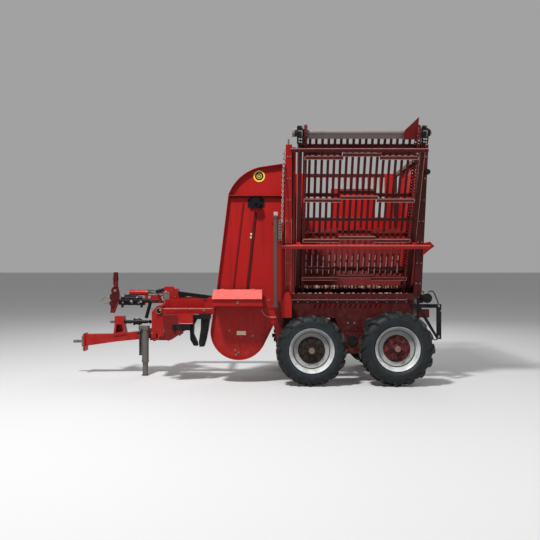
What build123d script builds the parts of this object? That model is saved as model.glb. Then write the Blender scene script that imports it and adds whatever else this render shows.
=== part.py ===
from build123d import *
import math
import os

os.makedirs("parts", exist_ok=True)

# A trailed sugar beet harvester with a slatted tank on tandem wheels. The frame's origin is on the
# ground under the middle of the whole machine: -X is the drawbar end, +Z is up and -Y is the
# machine's left side, where the unloading elevator leans out. All sizes are in millimetres.

# Overall places
half_length = 2916.0
mid_y = 181.51
sheet = 10.0
slip = 0.5
running_gap = 6.0

# Wheels: tandem pairs on walking beams
front_axle_x = 925.0
rear_axle_x = 2177.0
wheel_y = 1007.0
rim_seat_r = 300.0
rim_flange_r = 330.0
rim_half_width = 108.0
hub_r = 188.0
stub_r = 36.0
stub_bore_depth = 70.0
beam_inner_y = 700.0
beam_thickness = 100.0
walking_beam_height = 170.0
pivot_z = 640.0
walking_pivot_x = 1551.0
pivot_r = 55.0
lug_count = 16
wheel_sides = 32
lug_thickness = 38.0

# Chassis: two rails, a box across their front and plates under the tank
near_rail_y = -240.0
far_rail_y = 600.0
rail_width = 100.0
rail_bottom = 1080.0
rail_top = 1240.0
cross_member_depth = 80.0
cross_member_width = 80.0
front_box_front = -1510.0
front_box_back = -1352.0
front_box_bottom = 724.0
front_box_top = 1150.0
front_box_half_width = 560.0
row_y = -585.0
side_beam_width = 80.0
side_beam_bottom = 1026.0
side_beam_top = 1119.0
chassis_rear_x = 2530.0
plate_outer_y = 690.0
plate_thickness = 20.0
plate_inner_y = plate_outer_y - plate_thickness
plate_front_x = 560.0
plate_rear_x = 2500.0
light_bracket_reach = 416.0
plate_bottom = 975.0
tank_base_z = 1290.0
slot_count = 14
slot_pitch = 77.0

# Beet elevator housing at the left of the chassis
housing_near_y = -850.0
housing_far_y = -320.0
rim_depth = 60.0
drum_x = -152.0
drum_z = 780.0
drum_r = 425.0
housing_rear_x = 530.0
upper_shaft_x = 102.0
upper_shaft_z = 2708.0
ledge_z = 2815.0

# Where the front and rear edges meet the drum
front_foot_x = drum_x - drum_r * math.cos(math.radians(6))
front_foot_z = drum_z + drum_r * math.sin(math.radians(6))
rear_foot_x = drum_x + drum_r * math.cos(math.radians(22))
rear_foot_z = drum_z - drum_r * math.sin(math.radians(22))

# Tank
tank_front_x = 545.0
tank_rear_x = 2620.0
post_size = 60.0
tank_top_z = 3450.0
near_top_z = 3530.0
near_post_front_width = 92.0
near_post_rear_width = 115.0
knuckle_z = 2450.0
far_wall_y = 1220.0
floor_near_y = -265.0
floor_far_y = 640.0
floor_z = 1430.0
slat_width = 28.0
slat_depth = 14.0
rear_slat_count = 24
rear_slat_pitch = 78.0
rear_slat_width = 40.0
rear_solid_z = 2900.0
far_slat_count = 14
far_slat_x = 1002.0
far_slat_pitch = 108.0
raised_panel_x = (1415.0, 2221.0)
raised_panel_top = 3179.0
corner_panel_width = 340.0
skin = 5.0
near_top_y = -1125.0

# Unloading elevator: leans out from a tail shaft beside the tank floor
tail_y = -420.0
tail_z = 1440.0
tail_shaft_r = 30.0
lean = 25.0
elevator_length = 2424.0
elevator_front_x = 706.0
elevator_rear_x = 2504.0
member_width = 62.0
member_depth = 150.0
chain_offset = 96.0
chain_thickness = 18.0
flight_height = 40.0
flight_thickness = 50.0
flight_start = 183.0
flights_per_side = 4
flight_pitch = 629.0
outer_beam_out = 160.0
outer_beam_along = 738.0
outer_beam_height = 54.0
guard_out = 125.0
guard_along = 2180.0
head_plate_x = (2190.0, 2376.0)
bed_bar_count = 17
bed_bar_pitch = 88.0
bed_bar_width = 38.0
bed_bar_x = 862.0
head_shaft_r = 30.0

# Lift cylinder beside the front of the elevator
cylinder_x = 400.0
cylinder_y = -1000.0
cylinder_bottom = 1152.0
cylinder_top = 2491.0
barrel_r = 37.0
lift_rod_r = 20.0
lift_travel = 170.0

# Drawbar, hitch and jack
drawbar_y = 80.0
drawbar_width = 120.0
drawbar_pin_x = -1585.0
drawbar_pin_r = 25.0
jack_x = -1704.0
jack_y = -70.0
jack_travel = 190.0
eye_bore_r = 25.0
eye_ring_r = 55.0
shaft_z = 855.0
eye_z = 535.0
jack_outer_r = 54.0
jack_inner_r = 44.0
jack_bottom = 213.0
jack_foot_thickness = 12.0

# Row unit: topper and lifting shares in front of the housing
row_half_width = 240.0
topper_x = -1120.0
topper_z = 838.0
paddle_tip_r = 145.0
hood_front_x = -1299.0
hood_rear_x = -895.0

# Toolbox on the housing
toolbox_x = (-515.0, 205.0)
toolbox_outer_y = -1120.0
toolbox_bottom = 1180.0
toolbox_back_top = 1400.0
toolbox_front_top = 1275.0
toolbox_wall = 4.0

# Cleaning rotor behind the drum, the web inside the housing, the lifting chain's strand
rotor_x = 445.0
rotor_z = 700.0
web_thickness = 24.0
chain_x = 508.0


def block(x, y, z, mode=Mode.ADD):
    """A box between a low and a high value on each axis."""
    with Locations(((x[0] + x[1]) / 2, mid_y + (y[0] + y[1]) / 2, (z[0] + z[1]) / 2)):
        Box(x[1] - x[0], y[1] - y[0], z[1] - z[0], mode=mode)


def rod_y(x, z, radius, y, mode=Mode.ADD):
    """A round bar along Y between two values."""
    with Locations(Location((x, mid_y + (y[0] + y[1]) / 2, z), (90, 0, 0))):
        Cylinder(radius, y[1] - y[0], mode=mode)


def rod_x(y, z, radius, x, mode=Mode.ADD):
    """A round bar along X between two values."""
    with Locations(Location(((x[0] + x[1]) / 2, mid_y + y, z), (0, 90, 0))):
        Cylinder(radius, x[1] - x[0], mode=mode)


def rod_z(x, y, radius, z, mode=Mode.ADD):
    """An upright round bar between two heights."""
    with Locations((x, mid_y + y, (z[0] + z[1]) / 2)):
        Cylinder(radius, z[1] - z[0], mode=mode)


def side_shape(points, y, mode=Mode.ADD):
    """A flat outline seen from the side, given as (x, z) corners, thickened between two Y values."""
    with BuildSketch(Plane.XZ.offset(-(mid_y + y[1]))) as outline:
        with BuildLine():
            Polyline(*points, close=True)
        make_face()
    extrude(outline.sketch, amount=y[1] - y[0], mode=mode)


def front_shape(points, x, mode=Mode.ADD):
    """A flat outline seen along the machine, given as (y, z) corners, thickened between two X values."""
    with BuildSketch(Plane.YZ.offset(x[0])) as outline:
        with BuildLine():
            Polyline(*[(mid_y + p, q) for p, q in points], close=True)
        make_face()
    extrude(outline.sketch, amount=x[1] - x[0], mode=mode)


def bar(start, end, width, height, across=(0, 1, 0)):
    """A square-ended bar between two points; width is measured along the across direction."""
    a = Vector(start[0], mid_y + start[1], start[2])
    b = Vector(end[0], mid_y + end[1], end[2])
    with BuildSketch(Plane(origin=a, x_dir=across, z_dir=b - a)) as section:
        Rectangle(width, height)
    extrude(section.sketch, amount=(b - a).length)


def housing_slab(inset, y, mode=Mode.ADD):
    """The housing's side view, drawn in by an inset and thickened between two Y values."""
    r = drum_r - inset
    foot = (front_foot_x + inset, front_foot_z)
    rear = housing_rear_x - inset
    with BuildSketch(Plane.XZ.offset(-(mid_y + y[1]))) as view:
        with BuildLine():
            Polyline(foot, (-486 + inset, 1400), (-308 + inset, 2840))
            ThreePointArc((-308 + inset, 2840), (-130 + inset * 0.7, 3097 - inset * 0.7), (153, 3247 - inset))
            Polyline((153, 3247 - inset), (rear, 3303 - inset), (rear, 1207), (rear_foot_x - inset, rear_foot_z))
            ThreePointArc((rear_foot_x - inset, rear_foot_z), (drum_x, drum_z - r), foot)
        make_face()
    extrude(view.sketch, amount=y[1] - y[0], mode=mode)


def write(builder, label):
    builder.part.label = label
    export_step(builder.part, f"parts/{label}.step")


def wheel_ring(centre, side, radius, outward, mode=Mode.ADD):
    """A many-sided disc of a wheel, between two distances outward from the wheel's middle."""
    start = centre + Vector(0, side * outward[0], 0)
    with BuildSketch(Plane(origin=start, x_dir=(1, 0, 0), z_dir=(0, side, 0)), mode=Mode.PRIVATE) as section:
        RegularPolygon(radius, wheel_sides)
    extrude(section.sketch, amount=outward[1] - outward[0], mode=mode)


# Wheels. Columns: name, axle X, side (-1 left, 1 right), outer radius, carcass radius, tyre width
wheels = (
    ("front_left", front_axle_x, -1, 525.0, 497.0, 240.0),
    ("rear_left", rear_axle_x, -1, 552.0, 517.0, 284.0),
    ("front_right", front_axle_x, 1, 525.0, 497.0, 240.0),
    ("rear_right", rear_axle_x, 1, 552.0, 517.0, 284.0),
)

for name, axle_x, side, outer_r, carcass_r, width in wheels:
    centre = Vector(axle_x, mid_y + side * wheel_y, outer_r)
    half = width / 2
    lug_length = 0.60 * width
    lug_turn = math.radians(38)
    lug_reach = lug_length / 2 * math.sin(lug_turn) + lug_thickness / 2 * math.cos(lug_turn)
    lug_top = math.sqrt(outer_r**2 - lug_reach**2)
    seat = rim_half_width - 12
    with BuildPart() as tyre:
        wheel_ring(centre, side, carcass_r - 30, (-half, half))
        wheel_ring(centre, side, carcass_r, (40 - half, half - 40))
        wheel_ring(centre, side, rim_seat_r, (-half, half), Mode.SUBTRACT)
        for y in ((-half, -seat), (seat, half)):
            wheel_ring(centre, side, rim_flange_r + 3, y, Mode.SUBTRACT)
        for row in (-1, 1):
            for i in range(lug_count):
                turn = 360 / lug_count * (i + (0.5 if row > 0 else 0))
                place = (
                    Location(centre)
                    * Location((0, 0, 0), (0, turn, 0))
                    * Location((lug_top - 30, row * width * 0.235, 0), (row * side * 38, 0, 0))
                )
                with Locations(place):
                    Box(60, lug_length, lug_thickness)
    write(tyre, f"tyre_{name}")

    back = -rim_half_width - 12
    front = rim_half_width + 14
    with BuildPart() as rim:
        wheel_ring(centre, side, rim_flange_r, (back, -seat - slip))
        wheel_ring(centre, side, rim_seat_r - slip, (-seat - slip, seat + slip))
        wheel_ring(centre, side, rim_flange_r, (seat + slip, front))
        wheel_ring(centre, side, 286, (back, -8), Mode.SUBTRACT)
        wheel_ring(centre, side, 276, (14, front), Mode.SUBTRACT)
        wheel_ring(centre, side, hub_r, (14, 40))
        wheel_ring(centre, side, 112, (-72, -8))
        wheel_ring(centre, side, 54, (40, 112))
        bore = sorted((side * -80, side * (stub_bore_depth - 10)))
        rod_y(axle_x, outer_r, stub_r + slip, (side * wheel_y + bore[0], side * wheel_y + bore[1]), Mode.SUBTRACT)
    write(rim, f"rim_{name}")

# Walking beams with their stub axles, on one cross pivot under the tank
beam_outer_y = beam_inner_y + beam_thickness
with BuildPart() as walking_beams:
    for side in (-1, 1):
        near, far = sorted((side * beam_inner_y, side * beam_outer_y))
        side_shape(
            [
                (front_axle_x - 90, 525 - 70),
                (front_axle_x + 120, 525 - 90),
                (rear_axle_x - 120, 552 - 90),
                (rear_axle_x + 90, 552 - 70),
                (rear_axle_x + 90, 552 + 70),
                (walking_pivot_x + 130, pivot_z + 110),
                (walking_pivot_x - 130, pivot_z + 110),
                (front_axle_x - 90, 525 + 70),
            ],
            (near, far),
        )
        for axle_x, axle_z in ((front_axle_x, 525.0), (rear_axle_x, 552.0)):
            ends = sorted((side * (beam_outer_y - 20), side * (wheel_y + stub_bore_depth - 20)))
            rod_y(axle_x, axle_z, stub_r, ends)
    with Locations(Location((walking_pivot_x, mid_y, pivot_z), (90, 0, 0))):
        Cylinder(pivot_r + slip, 2 * wheel_y, mode=Mode.SUBTRACT)
write(walking_beams, "walking_beams")

with BuildPart() as beam_pivot:
    rod_y(walking_pivot_x, pivot_z, pivot_r, (-beam_outer_y - 12, beam_outer_y + 12))
    for side in (-1, 1):
        ends = sorted((side * (beam_outer_y + slip + 1), side * (beam_outer_y + 13)))
        rod_y(walking_pivot_x, pivot_z, pivot_r + 22, ends)
write(beam_pivot, "beam_pivot")

# Chassis
with BuildPart() as chassis_rails:
    for y in (near_rail_y, far_rail_y):
        block((front_box_back, chassis_rear_x), (y - rail_width / 2, y + rail_width / 2), (rail_bottom, rail_top))
    for x in (-420, 260):
        block((x, x + 90), (housing_far_y, near_rail_y - rail_width / 2), (1100, 1220))
write(chassis_rails, "chassis_rails")

with BuildPart() as cross_members:
    for x in (-1310, -640):
        block(
            (x, x + cross_member_width),
            (near_rail_y - rail_width / 2, far_rail_y + rail_width / 2),
            (rail_bottom - cross_member_depth, rail_bottom),
        )
    for x in (600, 1180, 1840, 2420):
        block(
            (x, x + cross_member_width),
            (-plate_inner_y, plate_inner_y),
            (rail_bottom - cross_member_depth, rail_bottom),
        )
write(cross_members, "cross_members")

foot_y = housing_near_y - 12
with BuildPart() as tank_side_plates:
    for side in (-1, 1):
        near, far = sorted((side * plate_inner_y, side * plate_outer_y))
        side_shape(
            [
                (plate_front_x, tank_base_z),
                (plate_front_x, plate_bottom + 90),
                (plate_front_x + 60, plate_bottom),
                (walking_pivot_x - 240, plate_bottom),
                (walking_pivot_x - 95, pivot_z - 85),
                (walking_pivot_x + 95, pivot_z - 85),
                (walking_pivot_x + 240, plate_bottom),
                (plate_rear_x - 60, plate_bottom),
                (plate_rear_x, plate_bottom + 90),
                (plate_rear_x, tank_base_z),
            ],
            (near, far),
        )
    with Locations(Location((walking_pivot_x, mid_y, pivot_z), (90, 0, 0))):
        Cylinder(pivot_r + 0.05, 2 * wheel_y, mode=Mode.SUBTRACT)
    for y in ((-plate_outer_y - 30, -plate_outer_y), (plate_outer_y, plate_outer_y + 30)):
        block((plate_front_x, plate_rear_x), y, (tank_base_z - 40, tank_base_z - 30))
    for i in range(slot_count):
        x = 1000 + slot_pitch * i
        with Locations(Location((x, mid_y, tank_base_z - 135), (0, 25, 0))):
            Box(28, 2 * wheel_y, 76, mode=Mode.SUBTRACT)
write(tank_side_plates, "tank_side_plates")

with BuildPart() as front_box:
    side_shape(
        [
            (front_box_front, front_box_bottom),
            (front_box_front, 1060),
            (-1430, front_box_top),
            (front_box_back, front_box_top),
            (front_box_back, front_box_bottom),
        ],
        (-front_box_half_width, front_box_half_width),
    )
    rod_y(-1392, 1078, 42, (-front_box_half_width - 50, -front_box_half_width))
    for z in ((558, 584), (724, 750)):
        block((drawbar_pin_x, front_box_front), (drawbar_y - 75, drawbar_y + 75), z)
        rod_z(drawbar_pin_x, drawbar_y, 75, z)
    block((front_box_front, front_box_back), (drawbar_y - 75, drawbar_y + 75), (558, front_box_bottom))
    rod_z(drawbar_pin_x, drawbar_y, drawbar_pin_r + 0.05, (500, 800), Mode.SUBTRACT)
    rod_x(drawbar_y, shaft_z, 40, (-1570, front_box_front))
    rod_x(drawbar_y, shaft_z, 22, (drawbar_pin_x - 20, -1570))
    rod_z(drawbar_pin_x, drawbar_y, drawbar_pin_r, (540, 760))
    rod_z(drawbar_pin_x, drawbar_y, drawbar_pin_r + 15, (750, 766))
write(front_box, "front_box")

with BuildPart() as side_beam:
    block((front_box_back, -440), (-front_box_half_width, -front_box_half_width + side_beam_width), (side_beam_bottom, side_beam_top))
    side_shape([(-711, side_beam_top), (-642, 1281), (-440, 1335), (-440, side_beam_top)], (-front_box_half_width, -front_box_half_width + 12))
    housing_slab(0, (housing_near_y, housing_far_y), Mode.SUBTRACT)
write(side_beam, "side_beam")


def gearbox_hump(mode=Mode.ADD):
    """The gearbox casing behind the front box."""
    side_shape(
        [
            (-1425, front_box_top),
            (-1425, 1395),
            (-1390, 1436),
            (-1255, 1436),
            (-1170, 1330),
            (-1170, front_box_top),
        ],
        (-60, 160),
        mode,
    )


with BuildPart() as gearbox:
    gearbox_hump()
write(gearbox, "gearbox")

with BuildPart() as elevator_shaft:
    bar((-1180, -30, 1330), (-400, -450, 1250), 60, 60)
    bar((-1172, 120, 1290), (-1172 + 90, 120, 1290), 70, 70)
    housing_slab(0, (housing_near_y, housing_far_y), Mode.SUBTRACT)
    gearbox_hump(Mode.SUBTRACT)
write(elevator_shaft, "elevator_shaft")

with BuildPart() as control_arm:
    block((-2114, -1722), (-32, 32), (1134, 1224))
    block((-2150, -2114), (-25, -6), (1140, 1226))
    block((-2150, -2114), (6, 25), (1140, 1226))
    for x in (-2108, -1796):
        block((x, x + 34), (-20, 20), (1094, 1134))
write(control_arm, "control_arm")

with BuildPart() as control_cylinder:
    for y in ((-32, -20), (20, 32)):
        block((-1722, -1425), y, (1167, 1297))
    block((-1722, -1700), (-20, 20), (1170, 1297))
    block((-1945, -1895), (-20, 20), (1224, 1320))
    rod_x(0, 1338, 48, (-1970, -1695))
    rod_x(0, 1338, 16, (-1695, -1425))
write(control_cylinder, "control_cylinder")


with BuildPart() as control_lever:
    side_shape(
        [(-2290, 1008), (-2215, 1004), (-2150, 1180), (-2130, 1300), (-2160, 1436), (-2240, 1436), (-2262, 1330), (-2270, 1200)],
        (-6, 6),
    )
    rod_z(-2196, 0, 36, (1430, 1640))
write(control_lever, "control_lever")

# Topper, lifting shares and their carriers
hood_outline = [
    (hood_front_x, side_beam_bottom),
    (hood_front_x + 15, 864),
    (hood_front_x + 45, 684),
    (-1216, 639),
    (-1156, 662),
    (-946, 804),
    (hood_rear_x, 849),
    (hood_rear_x, side_beam_bottom),
]
with BuildPart() as topper_hood:
    for y in (row_y - row_half_width, row_y + row_half_width - 8):
        side_shape(hood_outline, (y, y + 8))
    side_shape(
        [
            (hood_front_x, side_beam_bottom),
            (hood_front_x + 15, 864),
            (hood_front_x + 45, 684),
            (hood_front_x + 57, 684),
            (hood_front_x + 27, 864),
            (hood_front_x + 12, side_beam_bottom - 12),
            (hood_rear_x, side_beam_bottom - 12),
            (hood_rear_x, side_beam_bottom),
        ],
        (row_y - row_half_width, row_y + row_half_width),
    )
    block((front_box_back, hood_front_x + 14), (-front_box_half_width + 5, row_y + row_half_width), (900, 980))
    rod_y(topper_x, topper_z, 25.05, (row_y - 2 * row_half_width, row_y + 2 * row_half_width), Mode.SUBTRACT)
write(topper_hood, "topper_hood")

with BuildPart() as topper_rotor:
    rod_y(topper_x, topper_z, 25, (row_y - row_half_width - 40, row_y + row_half_width + 10))
    rod_y(topper_x, topper_z, 60, (row_y - row_half_width + 18, row_y + row_half_width - 18))
    for i in range(6):
        with Locations(
            Location((topper_x, mid_y + row_y, topper_z), (0, 60 * i, 0)) * Location((paddle_tip_r - 45, 0, 0))
        ):
            Box(90, 2 * row_half_width - 60, 12)
write(topper_rotor, "topper_rotor")


with BuildPart() as lifting_shares:
    block((-890, -600), (-680, -490), (side_beam_bottom - 70, side_beam_bottom - 12))
    block((-780, -600), (-560, -490), (side_beam_bottom - 12, side_beam_bottom))
    for y in (-650, -560):
        side_shape(
            [(-880, 956), (-800, 956), (-850, 860), (-855, 720), (-800, 600), (-790, 545), (-850, 545), (-905, 640), (-915, 860)],
            (y, y + 34),
        )
        side_shape(
            [(-740, 956), (-610, 956), (-630, 800), (-660, 640), (-690, 535), (-765, 530), (-775, 600), (-745, 800)],
            (y, y + 34),
        )
    housing_slab(0, (housing_near_y, housing_far_y), Mode.SUBTRACT)
write(lifting_shares, "lifting_shares")

# Beet elevator housing: a drum at the foot, a leaning front edge and a rounded head


plate_near_y = housing_near_y + rim_depth
with BuildPart() as elevator_housing:
    housing_slab(0, (housing_near_y, housing_far_y))
    housing_slab(sheet, (housing_near_y - 1, plate_near_y), Mode.SUBTRACT)
    housing_slab(sheet, (plate_near_y + sheet, housing_far_y - sheet), Mode.SUBTRACT)
    inside = (mid_y + plate_near_y + sheet + 5, mid_y + housing_far_y - sheet - 5)
    mouth_depth = inside[1] - inside[0]
    with Locations((-550, (inside[0] + inside[1]) / 2, 630)):
        Box(240, mouth_depth, 400, mode=Mode.SUBTRACT)
    with Locations((housing_rear_x, (inside[0] + inside[1]) / 2, 3045)):
        Box(60, mouth_depth, 340, mode=Mode.SUBTRACT)
    block((-300, housing_rear_x - sheet), (housing_near_y, plate_near_y), (ledge_z, ledge_z + 14))
write(elevator_housing, "elevator_housing")


# Columns: X, Z and radius of the web's lower and upper rollers
web_rollers_at = (
    (drum_x, drum_z, 300.0),
    (upper_shaft_x, upper_shaft_z, 200.0),
)
web_y = (plate_near_y + sheet + 30, housing_far_y - sheet - 30)


def web_outline(outside, mode=Mode.ADD):
    """The web's closed path round both rollers, drawn out by a distance, as a solid across the housing."""
    (x1, z1, r1), (x2, z2, r2) = web_rollers_at
    span = math.dist((x1, z1), (x2, z2))
    up = math.atan2(z2 - z1, x2 - x1)
    taper = math.acos((r1 - r2) / span)
    points = []
    for x, z, r, turn in ((x1, z1, r1, 1), (x2, z2, r2, 1), (x2, z2, r2, -1), (x1, z1, r1, -1)):
        angle = up + turn * taper
        reach = r + outside
        points.append((x + reach * math.cos(angle), z + reach * math.sin(angle)))
    side_shape(points, web_y, mode)
    for x, z, r in web_rollers_at:
        rod_y(x, z, r + outside, web_y, mode)


with BuildPart() as lift_web:
    web_outline(web_thickness)
    web_outline(0, Mode.SUBTRACT)
write(lift_web, "lift_web")

with BuildPart() as web_rollers:
    for x, z, r in web_rollers_at:
        rod_y(x, z, 35, (plate_near_y + sheet, housing_far_y - sheet))
        for y in (web_y[0] + 20, web_y[1] - 40):
            with BuildSketch(Plane.XZ.offset(-(mid_y + y + 20))) as disc:
                with Locations((x, z)):
                    RegularPolygon(r, wheel_sides)
            extrude(disc.sketch, amount=20)
write(web_rollers, "web_rollers")

with BuildPart() as hydraulic_motors:
    rod_y(upper_shaft_x, upper_shaft_z, 75, (housing_near_y - 60, plate_near_y))
    block((-20, 230), (plate_near_y - 8, plate_near_y), (2650, 2776))
    block((plate_rear_x + 55, 2650), (-plate_inner_y, -plate_inner_y + 40), (1200, 1285))
    rod_y(2692, 1279, 68, (-plate_inner_y - 40, -plate_inner_y + 80))
write(hydraulic_motors, "hydraulic_motors")

# Toolbox on the housing
lid_angle = math.degrees(math.atan2(toolbox_back_top - toolbox_front_top, housing_near_y - toolbox_outer_y))
with BuildPart() as toolbox:
    front_shape(
        [
            (housing_near_y, toolbox_bottom),
            (toolbox_outer_y, toolbox_bottom),
            (toolbox_outer_y, toolbox_front_top),
            (housing_near_y, toolbox_back_top),
        ],
        toolbox_x,
    )
    front_shape(
        [
            (housing_near_y - toolbox_wall, toolbox_bottom + toolbox_wall),
            (toolbox_outer_y + toolbox_wall, toolbox_bottom + toolbox_wall),
            (toolbox_outer_y + toolbox_wall, toolbox_front_top + 60),
            (housing_near_y - toolbox_wall, toolbox_back_top + 60),
        ],
        (toolbox_x[0] + toolbox_wall, toolbox_x[1] - toolbox_wall),
        Mode.SUBTRACT,
    )
    rod_x(housing_near_y - 9, toolbox_back_top + 12, 4, (toolbox_x[0], toolbox_x[1]))
    for x in (toolbox_x[0], -170, toolbox_x[1] - 40):
        block((x, x + 40), (housing_near_y - 9, housing_near_y), (toolbox_back_top - 30, toolbox_back_top + 16))
write(toolbox, "toolbox")

lid_plane = Plane(
    origin=(0, mid_y + housing_near_y - 9, toolbox_back_top + 12),
    x_dir=(1, 0, 0),
    z_dir=(0, -math.sin(math.radians(lid_angle)), math.cos(math.radians(lid_angle))),
)
lid_length = (housing_near_y - toolbox_outer_y) / math.cos(math.radians(lid_angle)) + 12
with BuildPart() as toolbox_lid:
    with Locations(lid_plane.location * Location((-166, -lid_length / 2 - 8, 3))):
        Box(toolbox_x[1] - toolbox_x[0] + 8, lid_length, 4)
    for x in (-400, 60):
        with Locations(lid_plane.location * Location((x, -8, 1), (0, 90, 0))):
            Box(10, 30, 60)
        rod_x(housing_near_y - 9, toolbox_back_top + 12, 10, (x - 30, x + 30))
    rod_x(housing_near_y - 9, toolbox_back_top + 12, 4.3, (toolbox_x[0] - 5, toolbox_x[1] + 5), Mode.SUBTRACT)
write(toolbox_lid, "toolbox_lid")

# Cleaning rotor behind the drum
with BuildPart() as rotor_arms:
    for y in (housing_near_y, housing_far_y - 10):
        side_shape(
            [
                (340, 1000),
                (480, 1190),
                (520, 1010),
                (rotor_x + 40, rotor_z + 30),
                (rotor_x + 40, rotor_z - 42),
                (rotor_x - 40, rotor_z - 42),
                (rotor_x - 50, rotor_z + 60),
            ],
            (y, y + 10),
        )
    rod_y(rotor_x, rotor_z, 20.05, (housing_near_y - 5, housing_far_y + 5), Mode.SUBTRACT)
    housing_slab(0, (housing_near_y, housing_far_y), Mode.SUBTRACT)
write(rotor_arms, "rotor_arms")

with BuildPart() as cleaning_rotor:
    rod_y(rotor_x, rotor_z, 20, (housing_near_y - 6, housing_far_y + 6))
    rod_y(rotor_x, rotor_z, 48, (housing_near_y + 20, housing_far_y - 20))
    for i in range(8):
        with Locations(
            Location((rotor_x, mid_y + row_y, rotor_z), (0, 45 * i, 0)) * Location((70, 0, 0))
        ):
            Box(58, 470, 10)
write(cleaning_rotor, "cleaning_rotor")

# Tank: base ring, posts and rails
near_foot_y = -plate_outer_y
post_ends = ((tank_front_x, tank_front_x + post_size), (tank_rear_x - post_size, tank_rear_x))
base_top = tank_base_z + post_size


def tank_end_frame(x, near_post):
    """One end of the tank's frame: base, two posts, a top rail and the tail shaft's bearing."""
    block(x, (-plate_outer_y, plate_outer_y), (tank_base_z, base_top))
    front_shape(
        [
            (near_foot_y, tank_base_z),
            (near_foot_y + post_size, tank_base_z),
            (near_top_y + post_size, near_top_z),
            (near_top_y, near_top_z),
        ],
        near_post,
    )
    front_shape(
        [
            (floor_far_y, tank_base_z),
            (floor_far_y + post_size, tank_base_z),
            (far_wall_y, knuckle_z),
            (far_wall_y, tank_top_z),
            (far_wall_y - post_size, tank_top_z),
            (far_wall_y - post_size, knuckle_z + 20),
        ],
        x,
    )
    block(x, (near_top_y + 50, far_wall_y), (tank_top_z - post_size, tank_top_z))
    block(x, (tail_y - 75, tail_y + 75), (base_top, tail_z + 60))
    rod_x(tail_y, tail_z, tail_shaft_r + 0.05, (x[0] - 5, x[1] + 5), Mode.SUBTRACT)


with BuildPart() as tank_front_frame:
    tank_end_frame(post_ends[0], (tank_front_x, tank_front_x + near_post_front_width))
write(tank_front_frame, "tank_front_frame")

with BuildPart() as tank_rear_frame:
    tank_end_frame(post_ends[1], (tank_rear_x - near_post_rear_width, tank_rear_x))
write(tank_rear_frame, "tank_rear_frame")

with BuildPart() as tank_rails:
    between = (post_ends[0][1], post_ends[1][0])
    near_between = (tank_front_x + near_post_front_width, tank_rear_x - near_post_rear_width)
    block(near_between, (-plate_outer_y, -plate_outer_y + post_size), (tank_base_z, base_top))
    block(between, (plate_outer_y - post_size, plate_outer_y), (tank_base_z, base_top))
    for z in (knuckle_z, tank_top_z - post_size):
        block(between, (far_wall_y - post_size, far_wall_y), (z, z + post_size))
write(tank_rails, "tank_rails")

front_skin_x = (tank_front_x - skin, tank_front_x)
rear_skin_x = (tank_rear_x, tank_rear_x + skin)
wall_corners = [
    (near_foot_y + 20, base_top - 10),
    (floor_far_y + 10, base_top - 10),
    (far_wall_y - post_size + 10, knuckle_z),
    (far_wall_y - post_size + 10, tank_top_z - post_size + 10),
    (near_top_y + post_size - 10, tank_top_z - post_size + 10),
]
with BuildPart() as tank_walls:
    front_shape(wall_corners, front_skin_x)
    block(
        (tank_front_x - 20, tank_front_x + 20),
        (housing_near_y + 70, housing_far_y - 20),
        (2870, 3220),
        Mode.SUBTRACT,
    )
    front_shape(
        [
            (near_foot_y + 20, base_top - 10),
            (floor_far_y + 10, base_top - 10),
            (far_wall_y - post_size + 10, knuckle_z),
            (far_wall_y - post_size + 10, rear_solid_z),
            (near_foot_y - 260, rear_solid_z),
        ],
        rear_skin_x,
    )
    for i in range(rear_slat_count):
        y = near_foot_y - 260 + rear_slat_pitch * i
        block(
            (rear_skin_x[0], rear_skin_x[0] + slat_depth),
            (y, y + rear_slat_width),
            (rear_solid_z, tank_top_z),
        )
    block(
        (tank_front_x + post_size, tank_rear_x - post_size),
        (far_wall_y - post_size - skin, far_wall_y - post_size),
        (knuckle_z, 2640),
    )
    block(raised_panel_x, (far_wall_y - post_size - skin, far_wall_y - post_size), (2640, raised_panel_top))
    for x in (tank_front_x + post_size, tank_rear_x - post_size - corner_panel_width / 2):
        block(
            (x, x + corner_panel_width if x < raised_panel_x[0] else x + corner_panel_width / 2),
            (far_wall_y - post_size - skin, far_wall_y - post_size),
            (2640, tank_top_z),
        )
    for i in range(far_slat_count):
        x = far_slat_x + far_slat_pitch * i
        block(
            (x, x + slat_width),
            (far_wall_y - post_size, far_wall_y - post_size + slat_depth),
            (knuckle_z + post_size, tank_top_z - post_size),
        )
write(tank_walls, "tank_walls")

hopper_slope = (far_wall_y - post_size - floor_far_y) / (knuckle_z + 20 - tank_base_z)


def hopper_y(z):
    """Where the far posts' inner edge lies at a height."""
    return floor_far_y + hopper_slope * (z - tank_base_z)


with BuildPart() as tank_hopper:
    front_shape(
        [
            (floor_near_y, floor_z - skin),
            (hopper_y(floor_z - skin), floor_z - skin),
            (hopper_y(knuckle_z), knuckle_z),
            (hopper_y(knuckle_z) - 6, knuckle_z),
            (hopper_y(floor_z) - 6, floor_z),
            (floor_near_y, floor_z),
        ],
        (tank_front_x, tank_rear_x),
    )
    block((tank_front_x + post_size, tank_rear_x - post_size), (floor_far_y, floor_far_y + skin), (base_top, floor_z - skin))
    for x in (620, 1240, 1900, 2440):
        block((x, x + 50), (floor_near_y, plate_outer_y - post_size), (rail_top, floor_z - skin))
write(tank_hopper, "tank_hopper")

# Unloading elevator in its own leaning frame: x along the machine, along up the elevator, out to the left
lean_sin = math.sin(math.radians(lean))
lean_cos = math.cos(math.radians(lean))
bed = Plane(
    origin=(0, mid_y + tail_y, tail_z),
    x_dir=(1, 0, 0),
    z_dir=(0, -lean_cos, -lean_sin),
)


def bed_block(x, along, out, mode=Mode.ADD):
    """A box in the elevator's leaning frame."""
    with Locations(
        bed.location * Location(((x[0] + x[1]) / 2, (along[0] + along[1]) / 2, (out[0] + out[1]) / 2))
    ):
        Box(x[1] - x[0], along[1] - along[0], out[1] - out[0], mode=mode)


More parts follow.
